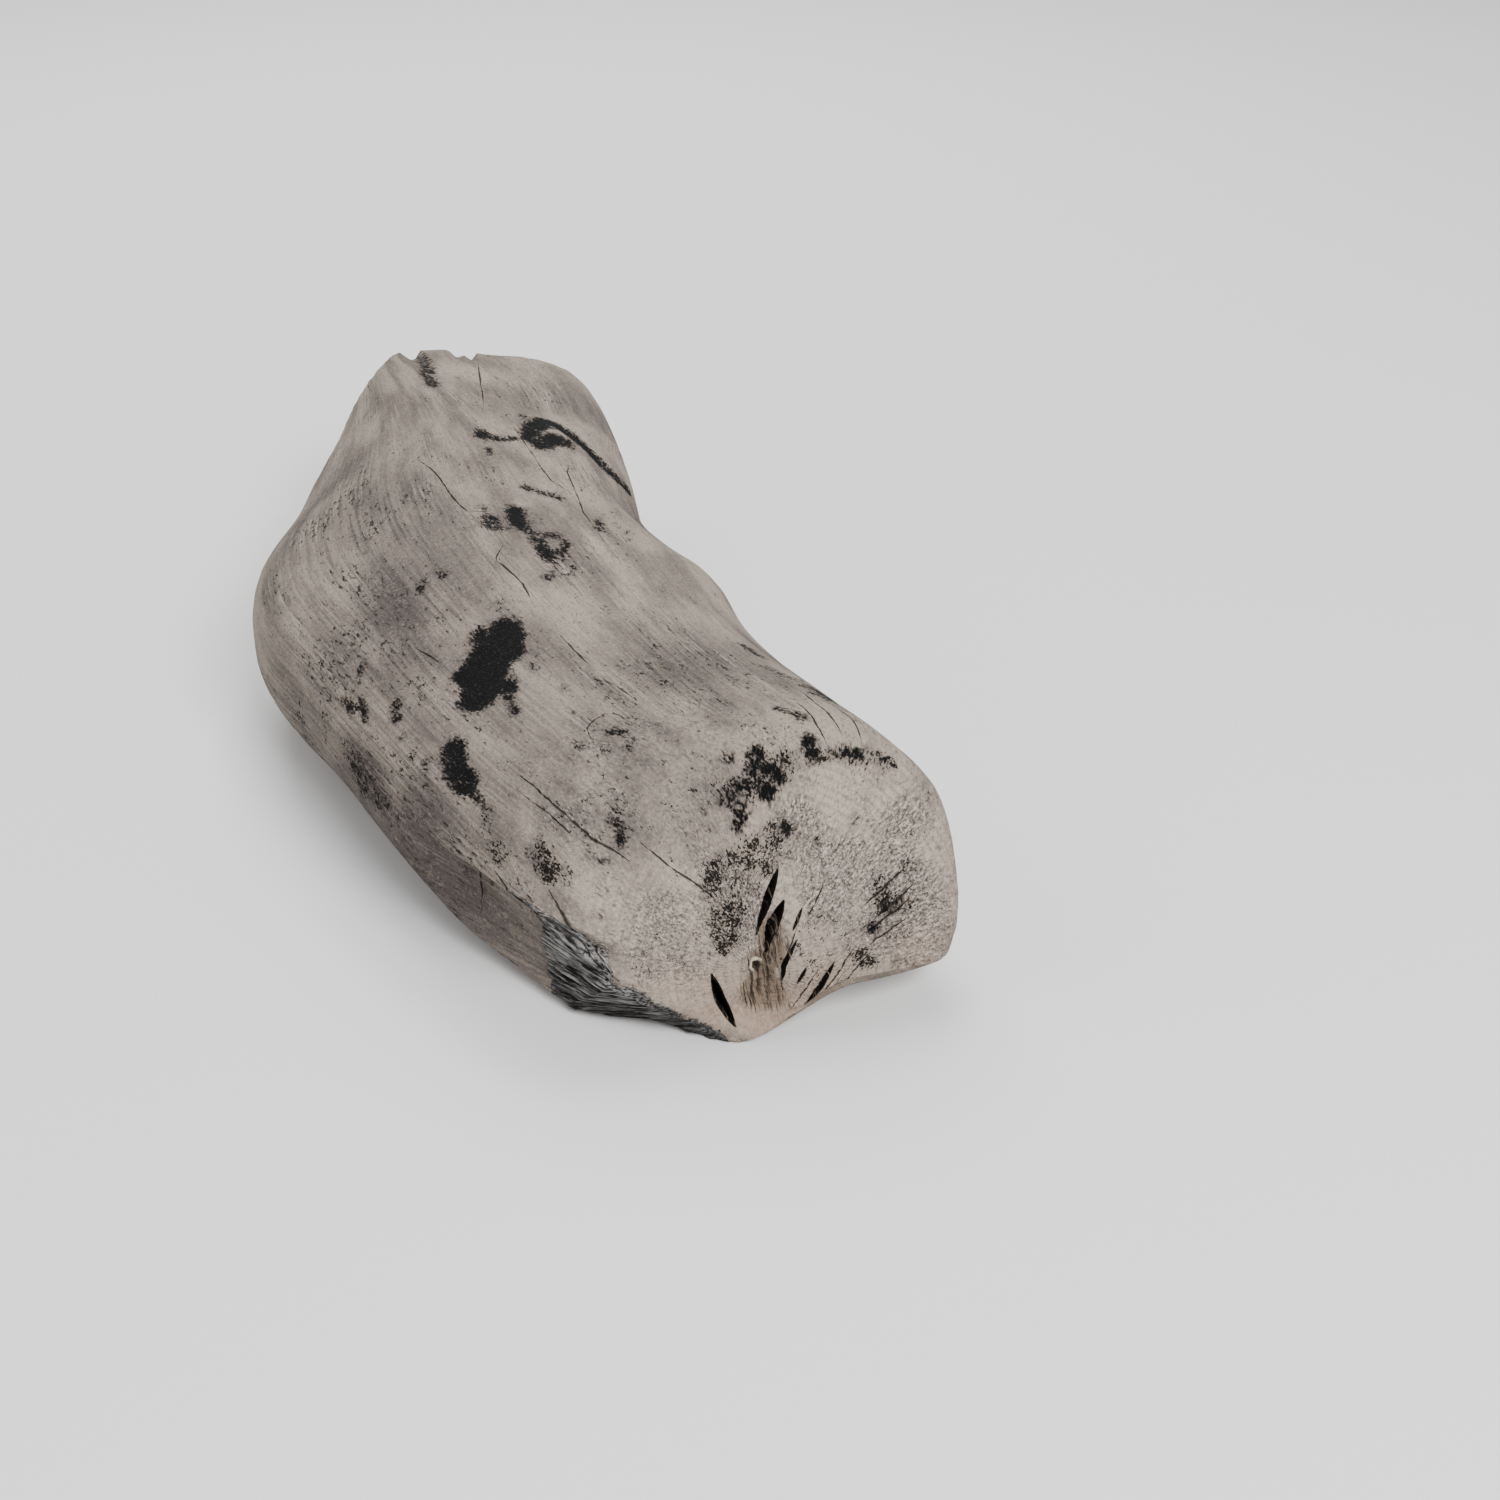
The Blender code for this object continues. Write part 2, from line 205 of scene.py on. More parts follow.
def near_face(corner, reach, side, share):
    """One ring of the near face, at this share of the way from the pith round the rim to the side."""
    middle = np.array([PITH[0], 0.0, PITH[1]])
    radius = np.linalg.norm(corner - middle, axis=-1)
    inner = 1 - reach / radius
    flat = middle + (corner - middle) * np.minimum(share, inner)[:, None]
    t = np.clip((share - inner) / (1 - inner), 0, 1)[:, None]
    return (1 - t)**2 * flat + 2 * t * (1 - t) * corner + t**2 * side


def far_face(rim, share):
    x = FAR_PITH[0] + (rim[:, 0] - FAR_PITH[0]) * share
    z = FAR_PITH[1] + (rim[:, 2] - FAR_PITH[1]) * share
    return np.stack([x, rim[:, 1] + FAR_DOME * np.sqrt(1 - share**2), z], -1)


turn = np.linspace(-np.pi / 2, 1.5 * np.pi, COLUMNS, endpoint=False)
corner, reach = near_corner(turn)
near_along = corner[:, 1] + reach
side = section(near_along, turn)
far_along = LENGTH - FAR_DOME
near_shares = np.linspace(0, 1, NEAR_ROWS + 1) ** NEAR_CROWDING
rings = [near_face(corner, reach, side, share) for share in near_shares]
for share in np.linspace(0, 1, SIDE_ROWS + 1)[1:] ** SIDE_CROWDING:
    rings.append(section(near_along * (1 - share) + far_along * share, turn))
far_rim = rings[-1]
rings += [far_face(far_rim, share) for share in np.linspace(1, 0, FAR_ROWS + 1)[1:]]
rings = np.array(rings)


def waves(points, across, lengthwise, rng):
    """Smooth random heights between about -1 and 1, stretched along the grain."""
    spread = rng.normal(size=(WAVES, 3)) / np.array([across, lengthwise, across]) * 2
    phase = rng.uniform(0, 2 * np.pi, WAVES)
    return np.sin(points @ spread.T + phase).sum(-1) / np.sqrt(WAVES)


def underside(points, rng):
    """Lowest height that the lump has over each place on plan."""
    height, across, lengthwise = HOLLOWS
    flat = points * (1, 1, 0)
    rest = np.linalg.norm(flat[..., :2] - REST, axis=-1) / REST_RADIUS
    floor = height * (waves(flat, across, lengthwise, rng) - FLAT_SHARE - REST_HOLD * np.exp(-rest**2))
    floor = np.maximum(floor, 0)
    for start, across, lengthwise, lift in LIFTS:
        t = np.clip((points[..., 0] - start) / across, 0, 1)
        near = np.clip(1 - points[..., 1] / lengthwise, 0, LIFT_MOST)
        floor = np.maximum(floor, lift * t * t * (3 - 2 * t) * near**2)
    return floor


def outward(rings):
    """Directions straight out of the surface at every point."""
    round_way = np.roll(rings, -1, axis=1) - np.roll(rings, 1, axis=1)
    long_way = np.gradient(rings, axis=0)
    out = np.cross(long_way, round_way)
    size = np.linalg.norm(out, axis=-1, keepdims=True)
    out = np.where(size > 1e-12, out / np.maximum(size, 1e-12), 0.0)
    out[0] = (0, -1, 0)
    out[-1] = (0, 1, 0)
    return out


rng = np.random.default_rng(FORM_SEED)
lift = SWELL[0] * waves(rings, SWELL[1], SWELL[2], rng)
flutes = FLUTES[0] * waves(rings, FLUTES[1], FLUTES[2], rng)
flutes[:NEAR_ROWS - RIM_ROWS] *= FACE_FLUTES
lift += flutes
for x, along, z, radius, height in KNOTS:
    away = np.linalg.norm(rings - (x, along, z), axis=-1) / radius
    lift += height * np.exp(-away**2)
points = rings + outward(rings) * lift[..., None]


# The marks that fire and drying left.
# Char shows black where the ash fell off, in ragged patches; a crescent of it curls round the scar of a
# twig. The burnt wood shrank and split: gaping checks stand over the near pith, hairline ones run along
# the grain. A mark is a chain of points (x, along, z) with its half width, in millimetres.
MM = 0.001
NO_CHAR, NO_CHECK = -0.02, -0.01      # distances that stand for nowhere near one
# chain, half width, how much longer it spreads along the grain, how far inside it counts as bare at most
CHAR = (
    (((-18, 71, 45), (-19, 65, 44)), 3.5, 1.3, 1.5),
    (((-22, 73, 44),), 2.0, 1.3, 1.0),
    (((-22, 66, 43), (-25, 63, 41)), 4.4, 1.15, 1.5),
    (((-23, 62, 42), (-26, 57, 40)), 4.2, 1.15, 1.5),
    (((-21, 54, 42),), 1.7, 1.3, 1.0),
    (((-22, 52, 42), (-22, 46, 41)), 0.6, 1.0, 0.5),
    (((-15, 62, 45), (-16, 56, 44)), 0.8, 1.0, 0.8),
    (((-15, 68, 45),), 0.9, 1.4, 0.3),
    (((-33, 47, 36), (-34, 41, 34), (-33, 37, 34)), 2.4, 1.0, 0.9),
    (((-33, 36, 34), (-31, 28, 32)), 0.8, 1.0, 0.2),
    (((7, 16, 43),), 0.9, 1.0, 0.5),
    (((11, 15, 43), (10, 14, 41)), 1.6, 1.0, 0.5),
    (((13, 13, 41), (14, 12, 40)), 1.3, 1.0, 0.5),
    (((12, 11, 38),), 1.6, 1.0, 1.0),
    (((6, 12, 38), (8, 12, 39)), 1.4, 1.0, 0.1),
    (((7, 10, 36), (6, 9, 34)), 1.1, 1.0, 0.6),
    (((4, 12, 37),), 0.8, 1.0, 0.3),
    (((20, 15, 44), (20, 13, 43)), 1.2, 1.0, 0.7),
    (((16, 13, 42),), 0.8, 1.0, 0.4),
    (((24, 12, 43), (28, 12, 42)), 1.2, 1.0, 0.9),
    (((31, 12, 41), (33, 11, 40)), 0.6, 1.0, 0.4),
    (((14, 8, 33),), 0.9, 1.0, 0.3),
    (((27, 1, 15),), 1.3, 1.0, 0.3),
    (((29, 1, 17), (33, 2, 19)), 0.6, 1.0, 0.4),
    (((30, -2, 9), (33, -2, 9)), 0.6, 1.0, 0.2),
    (((17, 7, 31),), 0.6, 1.0, 0.3),
    (((19, 7, 30),), 0.6, 1.0, 0.3),
    (((28, 8, 35),), 0.5, 1.0, 0.2),
    (((26, 8, 32),), 0.5, 1.0, 0.2),
    (((-4, 222, 48), (-5, 207, 50), (-6, 196, 50)), 1.5, 1.3, 0.2),
    (((-2, 162, 49),), 1.6, 2.4, 0.8),
    (((0, 159, 49), (4, 159, 49)), 0.9, 1.6, 0.6),
    (((-3, 153, 49), (-3, 149, 49)), 0.5, 1.0, 0.3),
    (((8, 160, 48), (10, 165, 48), (13, 170, 48), (16, 170, 47)), 2.0, 2.2, 1.0),
    (((16, 170, 47), (19, 163, 45), (22, 154, 43)), 2.0, 1.8, 1.0),
    (((22, 154, 43), (24, 150, 41), (27, 148, 38)), 1.6, 1.3, 0.8),
    (((10, 173, 48),), 0.7, 2.0, 0.4),
    (((9, 155, 48), (12, 157, 48), (16, 157, 48)), 1.9, 2.1, 1.0),
    (((0, 130, 49),), 0.7, 2.0, 0.5),
    (((1, 128, 49), (5, 122, 49)), 0.7, 1.3, 0.6),
    (((-11, 121, 49),), 0.7, 1.8, 0.5),
    (((-11, 113, 49),), 1.7, 2.2, 0.1),
    (((-5, 118, 49), (-6, 112, 49)), 1.7, 1.8, 0.9),
    (((-9, 110, 49),), 0.8, 1.8, 0.4),
    (((-4, 108, 48),), 0.9, 1.8, 0.6),
    (((-4, 103, 48), (-4, 96, 48)), 1.6, 1.4, 0.5),
    (((-2, 105, 48), (0, 104, 48), (1, 100, 48), (-1, 95, 48)), 0.8, 1.3, 0.7),
    (((-1, 95, 48), (-3, 91, 48), (-6, 86, 47)), 0.6, 1.2, 0.5),
    (((0, 90, 48), (-2, 86, 47)), 0.6, 1.0, 0.3),
    (((-11, 102, 49), (-13, 98, 49)), 0.6, 1.2, 0.4),
    (((-21, 102, 48),), 0.7, 1.4, 0.3),
    (((-24, 99, 47), (-24, 96, 46)), 0.8, 1.2, 0.2),
    (((-27, 99, 46), (-29, 94, 44)), 0.5, 1.0, 0.4),
    (((-39, 67, 36), (-40, 63, 35)), 0.9, 1.0, 0.5),
    (((-40, 58, 34),), 0.6, 1.0, 0.3),
    (((-38, 48, 33), (-39, 44, 31)), 0.5, 1.0, 0.2),
    (((-43, 82, 37), (-44, 79, 35)), 0.7, 1.0, 0.3),
    (((-47, 78, 32), (-46, 74, 32)), 1.0, 1.0, 0.4),
    (((-45, 74, 34), (-44, 69, 32)), 0.7, 1.0, 0.4),
    (((-16, 31, 43),), 0.5, 1.2, 0.2),
    (((-8, 28, 44),), 0.9, 1.1, 0.4),
    (((-7, 26, 43), (-8, 24, 43)), 0.6, 1.0, 0.1),
    (((-13, 15, 36), (-13, 12, 33)), 1.1, 1.0, 0.2),
    (((-13, 47, 44),), 0.6, 1.2, 0.2),
    (((1, 72, 46),), 0.7, 1.2, 0.1),
    (((-18, 6, 24),), 0.6, 1.0, 0.3),
    (((28, 36, 43), (30, 29, 43)), 1.0, 1.0, 0.6),
    (((23, 44, 44), (26, 38, 44)), 0.7, 1.0, 0.3),
    (((18, 24, 46), (21, 20, 46)), 0.6, 1.0, 0.1),
    (((-9, 29, 44),), 1.0, 1.0, 0.3),
    (((-16, 31, 43), (-15, 28, 42)), 0.6, 1.0, 0.1),
    (((17, 2, 18), (19, 2, 18)), 0.5, 1.0, 0.0),
    (((-18, 12, 32), (-16, 10, 30)), 0.6, 1.0, 0.1),
    (((9, 105, 48), (10, 110, 48)), 0.7, 1.2, 0.1),
    (((22, 56, 43), (24, 50, 43)), 0.6, 1.0, 0.1),
    (((28, 22, 43), (30, 18, 42)), 0.5, 1.0, 0.1),
)
# char that only peppers the ash: chain, half width, how thick it lies
SPECKLED = (
    (((-17, 79, 46),), 2.2, 0.5),
    (((-31, 30, 32), (-32, 20, 29)), 1.6, 0.7),
    (((13, 8, 32), (8, 8, 30), (3, 7, 28), (1, 6, 25)), 2.2, 0.9),
    (((11, 7, 30), (6, 6, 25)), 3.2, 0.75),
    (((4, 4, 21), (2, 3, 18)), 3.2, 0.85),
    (((1, 2, 16),), 1.5, 1.0),
    (((29, 3, 22), (29, 2, 18)), 1.6, 1.0),
    (((24, -1, 11), (26, -2, 10)), 1.8, 1.0),
    (((-50, 82, 27),), 2.4, 0.7),
    (((-48, 70, 25), (-47, 63, 23)), 3.5, 0.75),
    (((-46, 60, 23), (-44, 50, 22)), 3.0, 0.7),
    (((-53, 97, 20),), 4.0, 0.6),
    (((-26, 16, 31), (-25, 12, 29), (-23, 11, 29)), 1.9, 0.95),
    (((-34, 67, 38), (-35, 63, 37)), 1.2, 0.9),
    (((-39, 52, 33),), 1.2, 0.8),
    (((6, 12, 38), (8, 12, 39), (14, 13, 41)), 2.6, 0.8),
    (((16, 14, 42), (24, 12, 43), (33, 11, 40)), 1.6, 0.7),
    (((-11, 113, 49), (-5, 112, 49)), 4.0, 0.55),
    (((6, 46, 45),), 8.0, 0.35),
    (((34, 4, 22), (30, 1, 14)), 3.5, 0.45),
    (((14, 0, 12), (20, 0, 14)), 5.0, 0.4),
    (((26, 38, 44), (30, 26, 42)), 3.0, 0.6),
    (((-10, 2, 17), (-4, 2, 16)), 3.5, 0.35),
    (((12, 104, 48), (14, 112, 47)), 4.0, 0.4),
)
# the hidden back and flank have patches like these: how many, the spots that run together in each, how
# far apart the spots lie, and their half widths, in millimetres
HIDDEN_PATCHES = 34
HIDDEN_SPOTS = (2, 6)
HIDDEN_SPREAD = 2.6
HIDDEN_HALF = (0.3, 1.9)
HIDDEN_STRETCH = 1.3
HIDDEN_ROWS = (NEAR_ROWS + 10, NEAR_ROWS + SIDE_ROWS - 8)   # clear of both rims
HIDDEN_COLUMNS = (-COLUMNS // 6, COLUMNS // 3)   # from under the lump to high on its right flank
HIDDEN_SEED = 5
# painted shade: the strong places low on the left flank, on the near crown and at the right rim of the near
# face darken the ash as shade would
# soft dull places where the ash is thin, and places of painted shade: centre, reach, strength; they spread
# along the grain
THIN_ASH_AND_SHADE_STRETCH = 1.6
THIN_ASH_AND_SHADE = (
    ((-34, 93, 42), 13, 1.15), ((-26, 84, 44), 5, 0.9), ((-9, 181, 49), 8, 0.4), ((-6, 143, 49), 7, 0.5),
    ((-28, 34, 37), 9, 0.6), ((6, 46, 45), 10, 0.8), ((10, 28, 46), 7, 0.6), ((0, 17, 41), 8, 0.6),
    ((-46, 62, 22), 14, 1.2), ((-40, 40, 26), 12, 1.2), ((-50, 84, 20), 12, 0.9), ((-26, 14, 30), 5, 0.7),
    ((3, 4, 21), 6, 0.5), ((30, 60, 38), 12, 0.5), ((36, 30, 30), 12, 0.6), ((28, 120, 34), 16, 0.5),
    ((34, 190, 30), 14, 0.6), ((-38, 150, 24), 18, 0.4), ((-47, 70, 12), 16, 1.4), ((-42, 46, 12), 16, 1.5),
    ((-36, 30, 16), 12, 1.3), ((-34, 58, 38), 9, 0.7), ((-52, 96, 14), 14, 0.9), ((-36, 24, 28), 7, 0.9),
    ((40, 30, 14), 14, 0.8), ((36, 4, 12), 7, 0.5), ((-37, 76, 39), 10, 1.05), ((43, 12, 20), 7, 0.8),
    ((-20, 20, 38), 10, 0.5), ((-4, 32, 44), 22, 0.45), ((-24, 52, 42), 16, 0.5), ((-46, 88, 34), 12, 0.9),
    ((-34, 132, 44), 18, 0.85), ((-34, 164, 41), 14, 0.6), ((-40, 22, 12), 16, 1.4),
)
# places on the near face where its cut is gritty and grey, not smooth and beige
GRITTY = (
    ((22, 5, 24), 10, 0.9), ((32, 3, 22), 8, 1.0), ((27, 0, 14), 8, 1.0), ((7, 4, 20), 8, 0.8),
    ((-5, 2, 15), 8, 0.5), ((15, 6, 28), 7, 0.7), ((38, 0, 12), 8, 0.8), ((36, 6, 30), 6, 0.6),
    ((14, -2, 7), 6, 0.5),
)
# checks in the near face: points as x and z, greatest width, depth, in millimetres
NEAR_CHECKS = (
    (((11.9, 26.4), (9.6, 22.0), (7.2, 16.8)), 1.5, 5.0),
    (((12.2, 21.3), (10.3, 18.0), (8.6, 13.8)), 2.0, 5.5),
    (((15.2, 19.8), (13.2, 16.4)), 0.6, 2.0),
    (((13.7, 15.0), (11.0, 11.1), (10.4, 9.0)), 0.8, 2.5),
    (((19.6, 10.6), (16.8, 7.3), (13.7, 4.7)), 0.9, 2.5),
    (((14.8, 10.6), (12.7, 8.2)), 0.6, 1.8),
    (((-1.2, 11.8), (-0.3, 7.8), (1.6, 3.2)), 1.8, 4.5),
)
# checks in the far cut
FAR_CHECKS = (
    (((6.0, 25.0), (16.0, 33.0), (29.0, 37.0)), 2.6, 6.0),
    (((3.0, 23.0), (-8.0, 29.0), (-19.0, 30.0)), 2.4, 5.0),
    (((5.0, 20.0), (8.0, 12.0), (15.0, 6.0)), 2.2, 5.0),
)
# a narrow ledge runs round inside the edge of each check before its wall drops
NEAR_LEDGE, FAR_LEDGE = 0.0003, 0.0005
THINNEST_WALL = 0.1 * MM
CHECK_FLOOR = 1.6                     # over 1 gives a check a flat floor
CHECK_TAPER = 0.6                     # below 1 keeps a check wide for longer before it tapers
CHECK_TIP = 0.03                      # share of its length cut off each pointed end
# nicks in the far rim along the top: x, width and depth
FAR_NICKS = ((-0.0055, 0.0030, 0.0022), (0.0055, 0.0030, 0.0018), (0.0085, 0.0024, 0.0022))
NICK_RUN = 0.012
NICK_FLOOR = 1.4                      # over 1 gives a nick a flat floor
# hairline checks along the grain, with their width; two sets, so that neighbours never share one
HAIRLINES = ((
    (((-25, 29, 38), (-21, 19, 36), (-17, 13, 33), (-13, 10, 31)), 0.7),
    (((-9, 10, 32), (-6, 8, 29), (-1, 6, 25), (1, 5, 23)), 0.5),
    (((-18, 155, 49), (-16, 143, 49), (-15, 123, 49), (-14, 119, 49), (-11, 119, 49)), 0.6),
    (((-13, 94, 48), (-11, 85, 47), (-11, 80, 47)), 0.5),
    (((-9, 65, 45), (-7, 53, 45)), 0.4),
    (((12, 141, 48), (11, 138, 48), (8, 114, 48), (8, 107, 48)), 0.4),
    (((-33, 78, 41), (-30, 71, 40)), 0.4),
    (((25, 32, 45), (26, 16, 45)), 0.5),
    (((27, 1, 15), (33, 2, 18)), 1.0),
    (((14, -2, 5), (19, 0, 10)), 0.6),
    (((11, 0, 11), (14, 2, 17)), 0.4),
    (((-32, 19, 26), (-28, 13, 23), (-23, 9, 18), (-17, 3, 13)), 1.1),
    (((8, 212, 48), (3, 183, 49)), 0.5),
), (
    (((-26, 26, 37), (-22, 18, 35), (-18, 13, 31)), 0.4),
    (((-25, 10, 26), (-24, 7, 23), (-20, 5, 17)), 0.8),
    (((6, 167, 49), (6, 133, 49), (8, 126, 48)), 0.4),
    (((-11, 102, 49), (-14, 96, 48), (-13, 93, 48), (-12, 88, 48)), 0.4),
    (((-5, 46, 45), (-3, 39, 44)), 0.4),
    (((-6, 31, 44), (-7, 34, 44), (-9, 35, 44), (-11, 34, 44), (-13, 32, 44), (-13, 29, 43),
      (-11, 27, 43)), 0.3),
    (((-35, 28, 24), (-33, 31, 13)), 0.6),
    (((22, 26, 46), (23, 14, 45)), 0.4),
    (((27, 0, 13), (32, 1, 15)), 0.8),
    (((28, 1, 17), (34, 3, 20)), 1.0),
    (((26, 2, 19), (33, 4, 23)), 0.7),
    (((12, -2, 5), (16, 0, 9)), 0.4),
    (((17, -2, 6), (23, 0, 12)), 0.5),
    (((19, -2, 6), (26, 0, 11)), 0.4),
    (((16, 3, 18), (20, 5, 24)), 0.3),
    (((28, 26, 43), (29, 14, 43)), 0.4),
))
HAIR_TAPER, HAIR_TIP = 0.5, 0.02
HAIR_REACH = 0.003                    # places further off than this belong to no hairline check
HAIR_CLEAR = 0.005                    # the distance that such places are given
HAIR_SLACK = 0.0012                   # how far past its own end a check may still be felt
# the hollow by the near pith, where the wood tore out in splinters: its line as x and z, and half width,
# in millimetres, with the shape of its fall and its depth
HOLLOW_LINE = ((5.6, 8.0), (8.6, 6.8), (7.4, 12.0), (9.8, 13.0), (9.8, 17.0))
HOLLOW_HALF = 2.5
HOLLOW_FALL = 1.2
HOLLOW_DEPTH = 0.0016
CURL = (0.0067, 0.0120)               # middle of the pale curl of bark left in it, as x and z
CURL_RADIUS = 0.0011
CURL_CLEAR = 0.01
LIP_HALF = 0.0004


def apart(points, start, end, stretch=1.0):
    """Distance of each point from the line between two places, with the grain's way shortened."""
    narrow = np.array([1, 1 / stretch, 1])
    start, end = np.array(start) * MM * narrow, np.array(end) * MM * narrow
    way = end - start
    t = np.clip(((points * narrow - start) @ way) / max(way @ way, 1e-12), 0, 1)
    return np.linalg.norm(points * narrow - start - t[..., None] * way, axis=-1), t


char = np.full(rings.shape[:2], NO_CHAR)
for chain, half, stretch, most in CHAR:
    for start, end in zip(chain, chain[1:] or chain):
        away, _ = apart(rings, start, end, stretch)
        char = np.maximum(char, np.minimum(half * MM - away, most * MM))
draw = np.random.default_rng(HIDDEN_SEED)
for _ in range(HIDDEN_PATCHES):
    row, column = draw.integers(*HIDDEN_ROWS), draw.integers(*HIDDEN_COLUMNS)
    for _ in range(draw.integers(*HIDDEN_SPOTS)):
        place = rings[row, column] / MM + draw.normal(size=3) * HIDDEN_SPREAD
        away, _ = apart(rings, place, place, HIDDEN_STRETCH)
        char = np.maximum(char, draw.uniform(*HIDDEN_HALF) * MM - away)

speckle = np.zeros(rings.shape[:2])
for chain, half, thickness in SPECKLED:
    for start, end in zip(chain, chain[1:] or chain):
        away, _ = apart(rings, start, end)
        speckle = np.maximum(speckle, thickness * np.exp(-(away / (half * MM))**4 / 2))


def clouds(places, stretch):
    """Soft round places run together, each with its centre, reach and strength."""
    field = np.zeros(rings.shape[:2])
    for centre, spread, strength in places:
        away, _ = apart(rings, centre, centre, stretch)
        field = np.maximum(field, strength * np.exp(-(away / (spread * MM))**2))
    return field


thin_ash_and_shade, grit = clouds(THIN_ASH_AND_SHADE, THIN_ASH_AND_SHADE_STRETCH), clouds(GRITTY, 1.0)


def inside_check(flat, line, width):
    """How far points of a cut face, given as x and z, lie inside a check that tapers to both ends."""
    line = np.array(line) * MM
    steps = len(line) - 1
    best = np.full(flat.shape[:-1], NO_CHECK)
    for step in range(steps):
        start, way = line[step], line[step + 1] - line[step]
        t = np.clip(((flat - start) @ way) / (way @ way), 0, 1)
        away = np.linalg.norm(flat - start - t[..., None] * way, axis=-1)
        run = np.clip((step + t) / steps, CHECK_TIP, 1 - CHECK_TIP)
        half = width * MM / 2 * np.sin(np.pi * run) ** CHECK_TAPER
        best = np.maximum(best, half - away)
    return best


gape = np.full(rings.shape[:2], NO_CHECK)
for checks, rows, way, ledge in ((NEAR_CHECKS, slice(0, NEAR_ROWS), 1, NEAR_LEDGE),
                                 (FAR_CHECKS, slice(-FAR_ROWS, None), -1, FAR_LEDGE)):
    for line, width, depth in checks:
        within = inside_check(rings[rows, :, ::2], line, width)
        wall = np.clip((within - ledge) / max(width * MM / 2 - ledge, THINNEST_WALL), 0, 1)
        points[rows, :, 1] += way * depth * MM * np.minimum(wall * CHECK_FLOOR, 1)
        gape[rows] = np.maximum(gape[rows], within)
for x, width, depth in FAR_NICKS:
    run = np.clip(1 - (far_along - rings[..., 1]) / NICK_RUN, 0, 1)
    top = rings[..., 2] > FAR_PITH[1]
    across = np.clip(NICK_FLOOR - np.abs(rings[..., 0] - x) * 2 / width, 0, 1)
    points[..., 2] -= depth * run * top * across

outs = outward(rings)
hair = []
for lines in HAIRLINES:
    side_of = np.full(rings.shape[:2], HAIR_CLEAR)
    half_of = np.zeros(rings.shape[:2])
    nearest = np.full(rings.shape[:2], HAIR_REACH)
    for line, width in lines:
        steps = len(line) - 1
        for step in range(steps):
            away, t = apart(rings, line[step], line[step + 1])
            over = np.cross(outs, unit(np.array(line[step + 1]) - line[step]))
            signed = ((rings - np.array(line[step]) * MM) * over).sum(-1)
            run = np.clip((step + t) / steps, HAIR_TIP, 1 - HAIR_TIP)
            half = width * MM / 2 * np.sin(np.pi * run) ** HAIR_TAPER
            closer = away < nearest
            beside = away < np.abs(signed) + HAIR_SLACK
            nearest = np.where(closer, away, nearest)
            side_of = np.where(closer, signed, side_of)
            half_of = np.where(closer & beside, half, np.where(closer, 0, half_of))
    hair.append((side_of, half_of))


# Fine relief.
# The grain stands in low furrows along the side, the break in coarse splinters, the end grain is gritty,
# and bare char lies a little lower than the ash round it. The wood tore out by the near pith and left a
# hollow with a curl of bark in it.
def rough(places, across, along):
    """Perlin noise at each place, with its length across and along the grain."""
    flat = (places / (across, along, across)).reshape(-1, 3)
    return np.array([noise.noise(Vector(place)) for place in flat.tolist()]).reshape(places.shape[:-1])


# lengths of each relief across and along the grain, and heights
FURROW, FURROW_HEIGHT = (0.0022, 0.040), 0.00018
SPLINTER, SPLINTER_HEIGHT = (0.0012, 0.014), 0.0010
CRUMB, CRUMB_HEIGHT, TORN_HEIGHT = (0.0007, 0.0007), 0.00012, 0.0009
CHAR_SUNK, CHAR_EDGE = 0.00035, 0.0008
LIP_HEIGHT = 0.0005
STRAIGHT_RADIUS = 0.042               # of the lump if its bends were taken out
step_round = np.linalg.norm(np.roll(rings, -1, axis=1) - rings, axis=-1)[NEAR_ROWS + SIDE_ROWS // 2]
angle = np.cumsum(step_round) / step_round.sum() * 2 * np.pi
share_out = np.concatenate([near_shares, np.ones(SIDE_ROWS), np.linspace(1, 0, FAR_ROWS + 1)[1:]])
straight = np.stack([
    STRAIGHT_RADIUS * share_out[:, None] * np.cos(angle)[None, :],
    rings[..., 1],
    STRAIGHT_RADIUS * share_out[:, None] * np.sin(angle)[None, :],
], -1)

FACE_EDGE = 0.24                      # how soft the edge of the cut face is, as a share of its radius
EDGE_MIDDLE = 0.75                    # how much of the cut shows where the flat face ends
BREAK_END = 0.019                     # how far along the grain the break stays bare
BREAK_FADE, BREAK_EDGE = 0.004, 0.0012
inner = 1 - reach / np.linalg.norm(corner - (PITH[0], 0, PITH[1]), axis=-1)
cut = np.zeros(rings.shape[:2])
cut[:NEAR_ROWS + 1] = np.clip((inner[None, :] - near_shares[:, None]) / FACE_EDGE + EDGE_MIDDLE, 0, 1)
cut[-FAR_ROWS:] = 1
off_break = np.maximum(past_break(rings), past_flake(rings))
broken = np.clip(1 + off_break / BREAK_EDGE, 0, 1) * np.clip((BREAK_END - rings[..., 1]) / BREAK_FADE, 0, 1)
broken *= 1 - cut

hollow = np.zeros(rings.shape[:2])
level = rings * (1, 0, 1)
for start, end in zip(HOLLOW_LINE, HOLLOW_LINE[1:]):
    away, _ = apart(level, (start[0], 0, start[1]), (end[0], 0, end[1]))
    hollow = np.maximum(hollow, np.exp(-(away / (HOLLOW_HALF * MM))**2 * HOLLOW_FALL) * cut)
hollow[NEAR_ROWS:] = 0
curl = np.minimum(np.linalg.norm(rings[..., ::2] - CURL, axis=-1), CURL_CLEAR)
curl[NEAR_ROWS:] = CURL_CLEAR
curl_lip = np.exp(-((curl - CURL_RADIUS) / LIP_HALF)**2)

